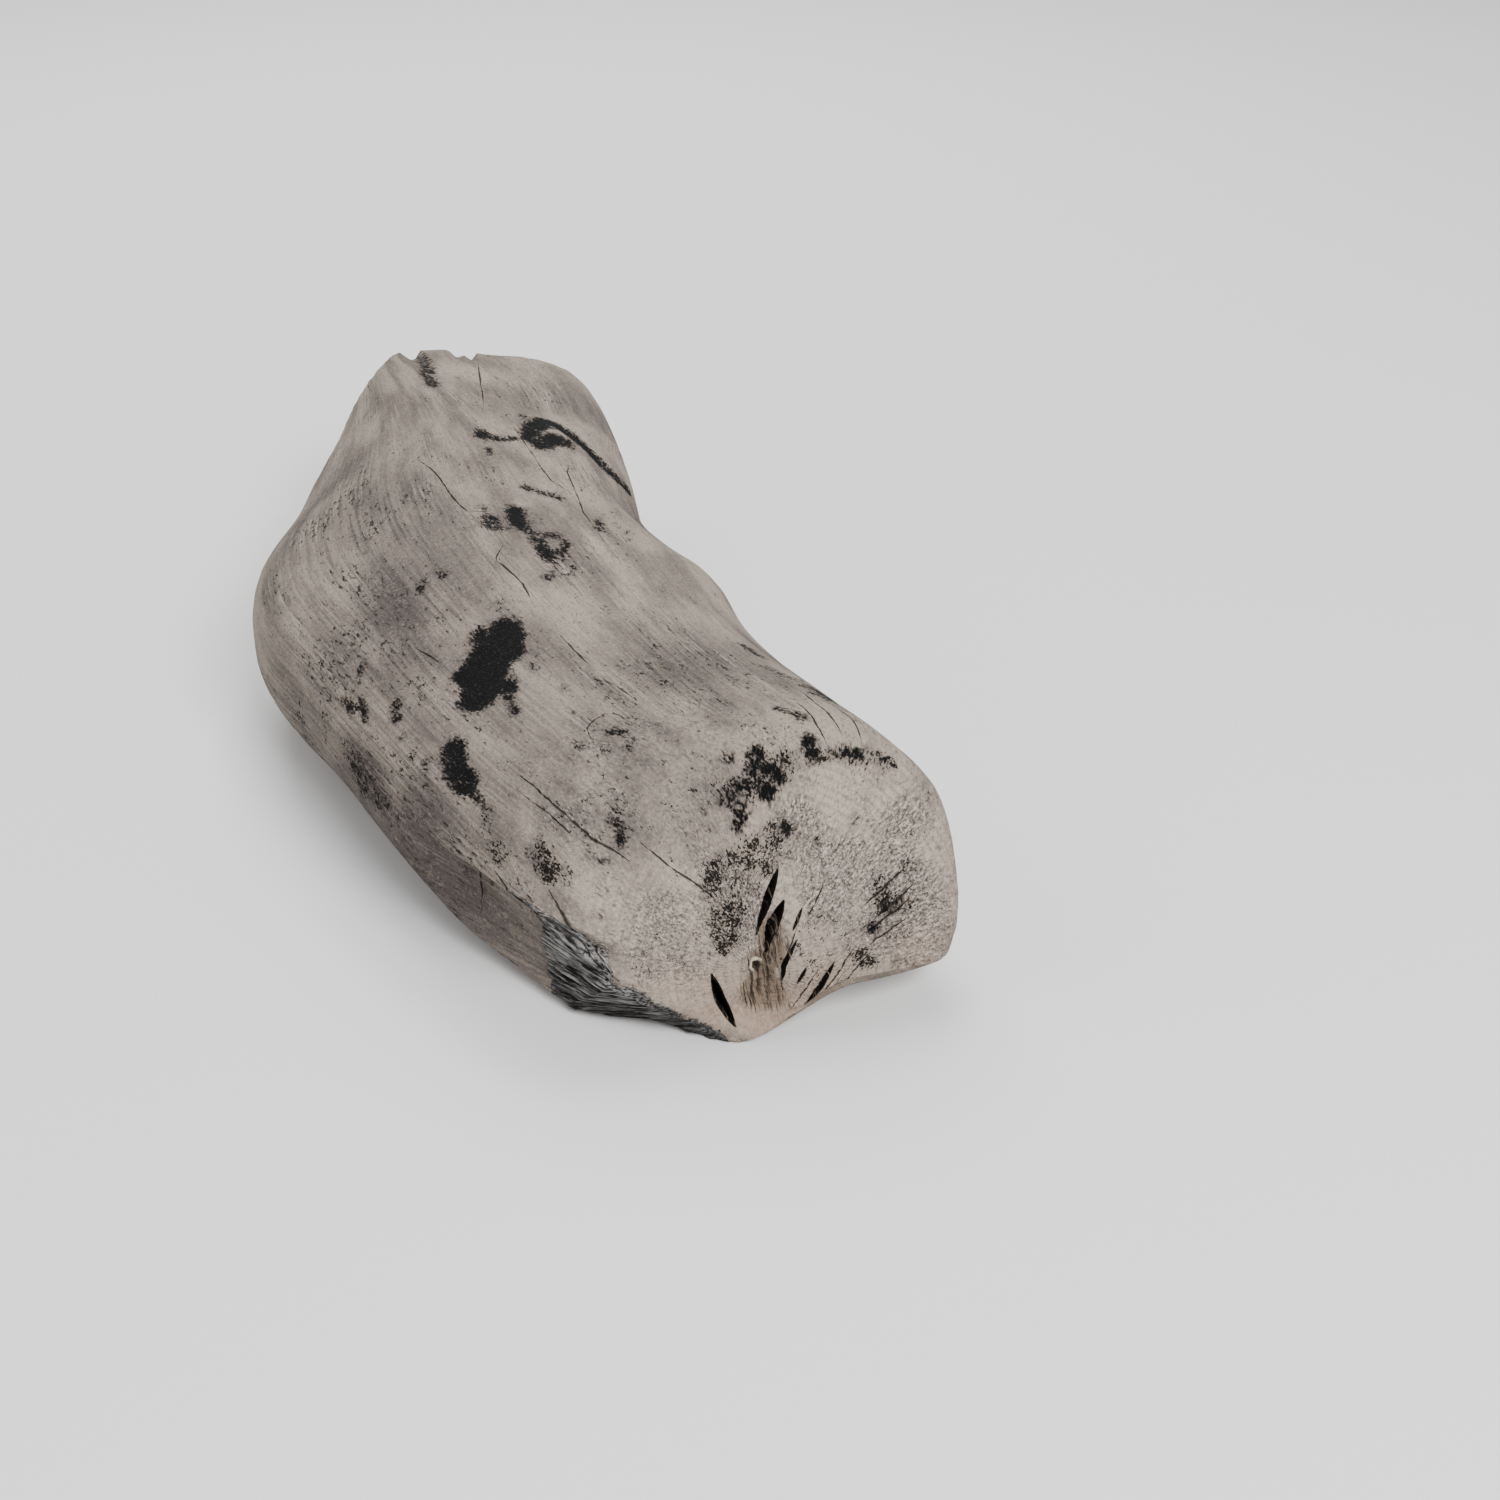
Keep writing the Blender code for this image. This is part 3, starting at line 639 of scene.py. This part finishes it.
furrows = rough(straight, *FURROW) * (1 - cut)
splinters = rough(straight, *SPLINTER) * broken
torn = rough(rings, *CRUMB)
bare = np.clip(char / CHAR_EDGE, 0, 1)
relief = FURROW_HEIGHT * furrows + SPLINTER_HEIGHT * splinters + CRUMB_HEIGHT * torn * cut - CHAR_SUNK * bare
relief += hollow * (TORN_HEIGHT * torn - HOLLOW_DEPTH) + LIP_HEIGHT * curl_lip
points += outs * relief[..., None]
points[..., 2] = np.maximum(points[..., 2], underside(points, rng))
points[0] = points[0].mean(axis=0)
points[-1] = points[-1].mean(axis=0)
points -= (BOX_MIDDLE[0], BOX_MIDDLE[1], 0)
points = np.clip(points, *cad_box)

mesh = bpy.data.meshes.new("lump")


def in_order(grid):
    """The grid's values in the mesh's order, with one point for each pith."""
    return np.concatenate([grid[:1, 0], grid[1:-1].reshape(-1, *grid.shape[2:]), grid[-1:, 0]])


index = 1 + np.arange((len(rings) - 2) * COLUMNS).reshape(-1, COLUMNS)
after = np.roll(index, -1, axis=1)
tip = index[-1, -1] + 1
quads = np.stack([index[:-1], index[1:], after[1:], after[:-1]], -1).reshape(-1, 4).tolist()
near_fan = [(0, a, b) for a, b in zip(index[0].tolist(), after[0].tolist())]
far_fan = [(b, a, int(tip)) for a, b in zip(index[-1].tolist(), after[-1].tolist())]
mesh.from_pydata(in_order(points).tolist(), [], quads + near_fan + far_fan)
mesh.shade_smooth()

fields = {"char": char, "gape": gape, "cut": cut, "broken": broken, "thin_ash_and_shade": thin_ash_and_shade, "speckle": speckle,
          "grit": grit, "hollow": hollow, "curl": curl, "hair_side": hair[0][0], "hair_half": hair[0][1],
          "hair_side_2": hair[1][0], "hair_half_2": hair[1][1]}
for name, field in fields.items():
    mesh.attributes.new(name, "FLOAT", "POINT").data.foreach_set("value", in_order(field).astype(np.float32))
mesh.attributes.new("straight", "FLOAT_VECTOR", "POINT").data.foreach_set(
    "vector", in_order(straight).astype(np.float32).ravel())

lump = bpy.data.objects.new("lump", mesh)
bpy.context.scene.collection.objects.link(lump)
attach(lump, "root")
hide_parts("charcoal_lump")


# The burnt wood's finish.
# A skin of pale ash lies over black char, thin enough that the wood's grain shows through it as streaks
# and flecks. The cut face is the palest, flecked with the ends of the vessels along its rays.
def add(tree, kind, given=None, **settings):
    """A node with its settings, each socket set to a value or linked from another node's output."""
    made = tree.nodes.new(kind)
    for name, value in settings.items():
        setattr(made, name, value)
    for name, value in (given or {}).items():
        if isinstance(value, bpy.types.NodeSocket):
            tree.links.new(value, made.inputs[name])
        else:
            made.inputs[name].default_value = value
    return made


def maths(tree, operation, *values):
    return add(tree, "ShaderNodeMath", dict(enumerate(values)), operation=operation).outputs[0]


def between(tree, value, low, high, start=0.0, end=1.0):
    """The value spread smoothly from start to end as it goes from low to high."""
    return add(tree, "ShaderNodeMapRange", {
        "Value": value, "From Min": low, "From Max": high, "To Min": start, "To Max": end,
    }, interpolation_type="SMOOTHSTEP").outputs["Result"]


def mixed(tree, share, first, second):
    """Two colours mixed by a share; a colour is a tuple or a node's output."""
    made = add(tree, "ShaderNodeMix", {"Factor": share}, data_type="RGBA")
    for name, value in (("A", first), ("B", second)):
        socket = next(s for s in made.inputs if s.name == name and s.type == "RGBA")
        if isinstance(value, bpy.types.NodeSocket):
            tree.links.new(value, socket)
        else:
            socket.default_value = (*value, 1)
    return next(s for s in made.outputs if s.type == "RGBA")


def noisy(tree, place, sizes, detail=3.0, roughness=0.55):
    """Noise from 0 to 1 with the sizes of its blobs along each axis, in metres."""
    finer = [1 / size for size in sizes]
    scaled = add(tree, "ShaderNodeVectorMath", {0: place, 1: finer}, operation="MULTIPLY")
    return add(tree, "ShaderNodeTexNoise", {
        "Vector": scaled.outputs[0], "Scale": 1.0, "Detail": detail, "Roughness": roughness}).outputs[0]


def new_group(name, inputs, outputs):
    """An empty node group, with the sockets of its two end nodes."""
    group = bpy.data.node_groups.new(name, "ShaderNodeTree")
    for way, sockets in (("INPUT", inputs), ("OUTPUT", outputs)):
        for socket, kind, *value in sockets:
            made = group.interface.new_socket(socket, in_out=way, socket_type="NodeSocket" + kind)
            if value:
                made.default_value = value[0]
    return group, group.nodes.new("NodeGroupInput").outputs, group.nodes.new("NodeGroupOutput").inputs


def use(tree, group, **given):
    """A group placed in a tree, with its inputs set or linked by name."""
    return add(tree, "ShaderNodeGroup", given, node_tree=group).outputs


# turns a soft field of distances into a mask with crumbled edges
ragged, given, result = new_group(
    "ragged edge",
    (("Field", "Float"), ("Place", "Vector"), ("Bite", "Float", 0.002), ("Crumb", "Float", 0.001),
     ("Softness", "Float", 0.0001)),
    (("Mask", "Float"),))
bites = noisy(ragged, given["Place"], (0.0028, 0.0045, 0.0028), detail=3, roughness=0.6)
crumbs = noisy(ragged, given["Place"], (0.0006, 0.0009, 0.0006), detail=2, roughness=0.6)
field = maths(ragged, "MULTIPLY_ADD", maths(ragged, "SUBTRACT", bites, 0.5), given["Bite"], given["Field"])
field = maths(ragged, "MULTIPLY_ADD", maths(ragged, "SUBTRACT", crumbs, 0.5), given["Crumb"], field)
edge = add(ragged, "ShaderNodeMapRange", {
    "Value": field, "From Min": maths(ragged, "MULTIPLY", given["Softness"], -1.0),
    "From Max": given["Softness"]}, interpolation_type="SMOOTHSTEP").outputs["Result"]
ragged.links.new(edge, result["Mask"])

# a hairline check: dark, wavering and broken up along its length
hairline, given, result = new_group(
    "hairline check",
    (("Side", "Float"), ("Half", "Float"), ("Place", "Vector")),
    (("Mask", "Float"),))
waver = noisy(hairline, given["Place"], (0.0030, 0.0090, 0.0030), detail=4)
breaks = noisy(hairline, given["Place"], (0.0010, 0.0045, 0.0010), detail=2)
side_now = maths(hairline, "MULTIPLY_ADD", maths(hairline, "SUBTRACT", waver, 0.5), 0.0008, given["Side"])
half_now = maths(hairline, "MULTIPLY", given["Half"], between(hairline, breaks, 0.30, 0.62, 0.25, 1.35))
mask = between(hairline, maths(hairline, "ABSOLUTE", side_now), half_now, 0.0, 0.0, 1.0)
fade = between(hairline, given["Half"], 0.0, 0.00010)
hairline.links.new(maths(hairline, "MULTIPLY", mask, fade), result["Mask"])

ASH_WARM = (0.335, 0.287, 0.234)
ASH_DULL = (0.200, 0.170, 0.143)
ASH_VIOLET = (0.088, 0.073, 0.068)
ASH_WHITE = (0.520, 0.470, 0.410)
# the next colour is painted shade, the dark laid low on the left flank
PAINTED_SHADE_DARK = (0.062, 0.051, 0.048)
FLECK = (0.0035, 0.0032, 0.0032)
CUT_PALE = (0.400, 0.336, 0.272)
CUT_GREY = (0.215, 0.183, 0.158)
CUT_DULL = (0.038, 0.031, 0.027)
CUT_WHITE = (0.560, 0.485, 0.405)
CUT_ROSY = (0.340, 0.230, 0.172)
TORN_BROWN = (0.215, 0.160, 0.118)
TORN_BLACK_AND_SHADE = (0.010, 0.007, 0.005)
CURL_PALE = (0.620, 0.520, 0.400)
CHAR_BLACK = (0.0014, 0.0015, 0.0017)
CHAR_GREY = (0.055, 0.056, 0.056)
# the next colour is a painted highlight, the glints on the broken corner's splinters
PAINTED_GLINT = (0.420, 0.405, 0.390)
CHECK_DARK = (0.003, 0.0025, 0.002)
SPLIT_DARK = (0.011, 0.010, 0.010)

skin = bpy.data.materials.new("ash over char")
skin.use_nodes = True
tree = skin.node_tree
shader = tree.nodes["Principled BSDF"]


def mark(name, output="Fac"):
    """One of the lump's fields, as it was stored on the mesh."""
    return add(tree, "ShaderNodeAttribute", attribute_name=name).outputs[output]


def dusted(colour, pattern, low, high, share, over):
    """The colour with another laid over it where a pattern nears the high value, up to this share."""
    return mixed(tree, maths(tree, "MULTIPLY", between(tree, pattern, low, high), share), colour, over)


grain_place = mark("straight", "Vector")
spot = add(tree, "ShaderNodeTexCoord").outputs["Object"]

# the side: mottled ash, violet and streaked where it is thin and where shade is painted, scratched and sandy
# all over, and flecked
mottle = noisy(tree, grain_place, (0.010, 0.030, 0.010), detail=4)
streak = noisy(tree, grain_place, (0.0009, 0.030, 0.0009), detail=4, roughness=0.6)
scratch = noisy(tree, grain_place, (0.00050, 0.0140, 0.00050), detail=3, roughness=0.6)
fibre = noisy(tree, grain_place, (0.00045, 0.0022, 0.00045), detail=3, roughness=0.65)
dust = noisy(tree, spot, (0.00055,) * 3, detail=3, roughness=0.85)
gather = noisy(tree, grain_place, (0.012, 0.026, 0.012), detail=3)
# painted shade: the places of painted shade in the field turn the ash violet and streaked here, as thin ash
# does
thin_and_shaded = maths(tree, "ADD", between(tree, mottle, 0.46, 0.66, 0.0, 0.40), mark("thin_ash_and_shade"))
scratched = between(tree, gather, 0.42, 0.66)
ash = mixed(tree, between(tree, mottle, 0.36, 0.60), ASH_WARM, ASH_DULL)
ash = mixed(tree, maths(tree, "MULTIPLY", thin_and_shaded, 0.50), ash, ASH_VIOLET)
ash = dusted(ash, streak, 0.44, 0.62, thin_and_shaded, ASH_VIOLET)
ash = dusted(ash, scratch, 0.52, 0.68, scratched, ASH_VIOLET)
ash = dusted(ash, scratch, 0.46, 0.30, maths(tree, "MULTIPLY", scratched, 0.4), ASH_WHITE)
ash = dusted(ash, fibre, 0.52, 0.68, 0.50, ASH_VIOLET)
ash = dusted(ash, dust, 0.52, 0.68, 0.55, ASH_VIOLET)
ash = dusted(ash, dust, 0.46, 0.30, 0.35, ASH_WHITE)
fleck = noisy(tree, grain_place, (0.0009, 0.0022, 0.0009), detail=4, roughness=0.7)
crowd = maths(tree, "MULTIPLY", maths(tree, "ADD", scratched, mark("thin_ash_and_shade")), 0.08)
flecks = between(tree, maths(tree, "ADD", fleck, crowd), 0.67, 0.74)
ash = mixed(tree, maths(tree, "MULTIPLY", flecks, 0.9), ash, FLECK)
# painted shade: where the field is strongest, chiefly low on the left flank and at the near right rim, the
# ash darkens as shade would darken it
ash = mixed(tree, between(tree, mark("thin_ash_and_shade"), 0.70, 1.25, 0.0, 0.62), ash, PAINTED_SHADE_DARK)

# the cut faces: pale end grain, with dark flecks along its rays and faint growth rings round the pith
ROSY_FROM, ROSY_TO = 0.017, 0.003     # heights between which the low edge turns rosy
at = add(tree, "ShaderNodeSeparateXYZ", {0: spot}).outputs
rise = add(tree, "ShaderNodeVectorMath", {
    0: (FAR_PITH[0] - PITH[0], 0, FAR_PITH[1] - PITH[1]),
    "Scale": between(tree, at["Y"], 0.0, 0.1)}, operation="SCALE")
from_near = add(tree, "ShaderNodeVectorMath", {
    0: spot, 1: (PITH[0] - BOX_MIDDLE[0], -BOX_MIDDLE[1], PITH[1])}, operation="SUBTRACT")
from_pith = add(tree, "ShaderNodeVectorMath", {
    0: from_near.outputs[0], 1: rise.outputs[0]}, operation="SUBTRACT")
off_pith = add(tree, "ShaderNodeSeparateXYZ", {0: from_pith.outputs[0]}).outputs
level = add(tree, "ShaderNodeCombineXYZ", {"X": off_pith["X"], "Y": off_pith["Z"]}).outputs[0]
radius = add(tree, "ShaderNodeVectorMath", {0: level}, operation="LENGTH").outputs["Value"]
heading = maths(tree, "ARCTAN2", off_pith["Z"], off_pith["X"])


def rays(count, length):
    """Noise drawn out along the rays from the pith: how many go round, and their length."""
    wander = noisy(tree, spot, (0.004,) * 3, detail=1)
    place = add(tree, "ShaderNodeCombineXYZ", {
        "X": maths(tree, "MULTIPLY_ADD", heading, count / tau, maths(tree, "MULTIPLY", wander, 6.0)),
        "Y": maths(tree, "DIVIDE", radius, length)})
    return add(tree, "ShaderNodeTexNoise", {
        "Vector": place.outputs[0], "Scale": 1.0, "Detail": 3.0, "Roughness": 0.65}).outputs[0]


far_out = between(tree, radius, 0.012, 0.028)
ray = maths(tree, "ADD", maths(tree, "MULTIPLY", rays(210, 0.0016), maths(tree, "SUBTRACT", 1.0, far_out)),
            maths(tree, "MULTIPLY", rays(430, 0.0015), far_out))
pores = noisy(tree, spot, (0.00042,) * 3, detail=3, roughness=0.85)
growth = add(tree, "ShaderNodeTexWave", {
    "Vector": add(tree, "ShaderNodeCombineXYZ", {"X": radius}).outputs[0], "Scale": 230.0, "Distortion": 2.0,
    "Detail": 2.0}, bands_direction="X").outputs["Fac"]
patchy = noisy(tree, spot, (0.011,) * 3, detail=3)
gritty = between(tree, maths(tree, "MULTIPLY_ADD", mark("grit"), 0.35, patchy), 0.48, 0.78)
coarse = maths(tree, "MULTIPLY_ADD", gritty, 0.65, 0.30)
chalky = maths(tree, "MULTIPLY", coarse, 0.8)
face = mixed(tree, gritty, CUT_PALE, CUT_GREY)
face = dusted(face, growth, 0.4, 1.0, 0.22, CUT_DULL)
face = dusted(face, ray, 0.50, 0.66, coarse, CUT_DULL)
face = dusted(face, ray, 0.50, 0.36, chalky, CUT_WHITE)
face = dusted(face, pores, 0.52, 0.64, coarse, CUT_DULL)
face = dusted(face, pores, 0.47, 0.36, chalky, CUT_WHITE)
rosy = maths(tree, "MULTIPLY", between(tree, at["Z"], ROSY_FROM, ROSY_TO), between(tree, patchy, 0.36, 0.56))
face = mixed(tree, maths(tree, "MULTIPLY", rosy, 0.6), face, CUT_ROSY)

# the torn hollow: brown splinters that waver down it, with black char and painted shade in the dark strands
# between them, and the pale curl of bark with its dark middle
wander = noisy(tree, spot, (0.0030,) * 3, detail=2)
torn_place = add(tree, "ShaderNodeVectorMath", {0: spot, 1: add(tree, "ShaderNodeCombineXYZ", {
    "X": maths(tree, "MULTIPLY", wander, 0.0011)}).outputs[0]}, operation="ADD").outputs[0]
splintered = noisy(tree, torn_place, (0.00045, 0.0200, 0.0045), detail=5, roughness=0.7)
# partly painted shade: the dark strands between the brown splinters are black char and the shade that would
# fall between them
torn_look = mixed(tree, between(tree, splintered, 0.42, 0.64), TORN_BROWN, TORN_BLACK_AND_SHADE)
in_hollow = maths(tree, "MULTIPLY_ADD", splintered, 1.4, mark("hollow"))
face = mixed(tree, between(tree, in_hollow, 0.90, 1.30), face, torn_look)
uneven = maths(tree, "SUBTRACT", noisy(tree, spot, (0.0012,) * 3), 0.5)
curl_away = maths(tree, "MULTIPLY_ADD", uneven, 0.0016, mark("curl"))
off_lip = maths(tree, "ABSOLUTE", maths(tree, "SUBTRACT", curl_away, CURL_RADIUS))
face = mixed(tree, between(tree, curl_away, CURL_RADIUS, CURL_RADIUS * 0.4, 0.0, 0.8), face, TORN_BLACK_AND_SHADE)
upper_left = maths(tree, "MULTIPLY_ADD", off_pith["X"], -0.6, off_pith["Z"])
face = dusted(face, off_lip, 0.00040, 0.00014, between(tree, upper_left, 0.0003, 0.0012), CURL_PALE)

on_face = use(tree, ragged, Field=maths(tree, "SUBTRACT", mark("cut"), 0.5), Place=spot,
              Bite=1.2, Crumb=1.2, Softness=0.55)["Mask"]
colour = mixed(tree, on_face, ash, face)

# the broken corner: black splinters with painted glints, streaks of painted highlight that grow fainter
# towards its low end
on_break = use(tree, ragged, Field=maths(tree, "SUBTRACT", mark("broken"), 0.5), Place=spot,
               Bite=1.4, Crumb=0.9, Softness=0.12)["Mask"]
splinter = noisy(tree, grain_place, (0.0006, 0.0050, 0.0006), detail=5, roughness=0.7)
# painted highlight: how much of the splinters shows painted glints, less low down
glint_share = between(tree, maths(tree, "MULTIPLY_ADD", patchy, 0.012, off_pith["Z"]), -0.004, 0.010, 0.40, 1.0)
char_look = dusted(SPLIT_DARK, splinter, 0.42, 0.62, glint_share, PAINTED_GLINT)
colour = mixed(tree, on_break, colour, char_look)

# bare char, with a dull halo where the ash thins towards it
char_field = mark("char")
crumbly = noisy(tree, grain_place, (0.0030, 0.0040, 0.0030), detail=3)
halo = use(tree, ragged, Field=maths(tree, "ADD", char_field, 0.0005), Place=grain_place, Bite=0.004,
           Crumb=0.004, Softness=0.0009)["Mask"]
colour = mixed(tree, maths(tree, "MULTIPLY", halo, 0.60), colour, ASH_VIOLET)
peppering = maths(tree, "MULTIPLY_ADD", crumbly, 0.5, noisy(
    tree, grain_place, (0.0005, 0.0009, 0.0005), detail=3, roughness=0.75))
peppered = between(tree, maths(tree, "MULTIPLY_ADD", mark("speckle"), 0.24, peppering), 0.93, 0.97)
colour = mixed(tree, maths(tree, "MULTIPLY", mark("speckle"), 0.35), colour, ASH_VIOLET)
colour = mixed(tree, maths(tree, "MULTIPLY", peppered, 0.96), colour, FLECK)
on_char = use(tree, ragged, Field=char_field, Place=grain_place, Bite=0.0028, Crumb=0.0034,
              Softness=0.00050)["Mask"]
sooty = mixed(tree, between(tree, pores, 0.56, 0.72), CHAR_BLACK, CHAR_GREY)
sooty = dusted(sooty, dust, 0.64, 0.74, 0.6, ASH_DULL)
colour = mixed(tree, on_char, colour, sooty)

# the checks
gaping = between(tree, mark("gape"), -0.00008, 0.00008)
line = use(tree, hairline, Side=mark("hair_side"), Half=mark("hair_half"), Place=grain_place)["Mask"]
line_2 = use(tree, hairline, Side=mark("hair_side_2"), Half=mark("hair_half_2"), Place=grain_place)["Mask"]
lines = maths(tree, "MAXIMUM", line, line_2)
colour = mixed(tree, maths(tree, "MULTIPLY", lines, 0.92), colour, FLECK)
inside = mixed(tree, between(tree, splintered, 0.56, 0.68), CHECK_DARK, TORN_BROWN)
colour = mixed(tree, gaping, colour, inside)
tree.links.new(colour, shader.inputs["Base Color"])

bare_char = maths(tree, "MAXIMUM", on_char, on_break)
tree.links.new(between(tree, bare_char, 0.0, 1.0, 0.95, 0.72), shader.inputs["Roughness"])
shader.inputs["Specular IOR Level"].default_value = 0.10

# heights in metres: the grain's furrows, dust, pores and splinters, and how deep each mark lies
height = maths(tree, "MULTIPLY", streak, 0.00016)
for what, deep in ((fibre, -0.00010), (dust, -0.00008), (flecks, -0.00010), (lines, -0.00040),
                   (gaping, -0.00030), (on_char, -0.00020)):
    height = maths(tree, "MULTIPLY_ADD", what, deep, height)
for what, where, deep in ((ray, on_face, -0.00022), (pores, on_face, -0.00018), (splinter, on_break, 0.0009),
                          (pores, on_char, 0.00030)):
    height = maths(tree, "MULTIPLY_ADD", maths(tree, "MULTIPLY", what, where), deep, height)
bump = add(tree, "ShaderNodeBump", {"Height": height, "Strength": 1.0, "Distance": 1.0})
tree.links.new(bump.outputs["Normal"], shader.inputs["Normal"])
mesh.materials.append(skin)


# The floor and the light.
# A plain pale floor runs under the lump. A soft key lamp hangs in front of the near end, a second one
# above the far end lifts it off the floor, and a weak one on the left keeps that flank from going black.
FLOOR_HALF = 3.0
FLOOR_PALE = (0.85, 0.85, 0.85, 1)
FLOOR_ROUGHNESS = 0.9
SKY_STRENGTH = 0.34
floor_mesh = bpy.data.meshes.new("floor")
corners = [(-FLOOR_HALF, -FLOOR_HALF, 0), (FLOOR_HALF, -FLOOR_HALF, 0), (FLOOR_HALF, FLOOR_HALF, 0),
           (-FLOOR_HALF, FLOOR_HALF, 0)]
floor_mesh.from_pydata(corners, [], [(0, 1, 2, 3)])
floor = bpy.data.objects.new("floor", floor_mesh)
bpy.context.scene.collection.objects.link(floor)
paint = bpy.data.materials.new("pale floor")
paint.use_nodes = True
paint.node_tree.nodes["Principled BSDF"].inputs["Base Color"].default_value = FLOOR_PALE
paint.node_tree.nodes["Principled BSDF"].inputs["Roughness"].default_value = FLOOR_ROUGHNESS
floor_mesh.materials.append(paint)


def softbox(name, place, aim, size, power):
    """A square lamp at a place, aimed at another."""
    lamp = bpy.data.objects.new(name, bpy.data.lights.new(name, "AREA"))
    lamp.data.shape = "SQUARE"
    lamp.data.size = size
    lamp.data.energy = power
    lamp.location = place
    lamp.rotation_euler = (Vector(aim) - Vector(place)).to_track_quat("-Z", "Y").to_euler()
    bpy.context.scene.collection.objects.link(lamp)


softbox("key lamp", (0.16, -0.95, 0.72), (0, -0.02, 0.03), 0.50, 18.0)
softbox("left lamp", (-0.85, 0.20, 0.80), (0, 0.02, 0.03), 0.8, 3.5)
softbox("back lamp", (0.15, 0.75, 1.0), (0, 0.08, 0.03), 0.8, 14.0)

world = bpy.data.worlds.new("studio")
bpy.context.scene.world = world
world.use_nodes = True
world.node_tree.nodes["Background"].inputs["Color"].default_value = (1, 1, 1, 1)
world.node_tree.nodes["Background"].inputs["Strength"].default_value = SKY_STRENGTH
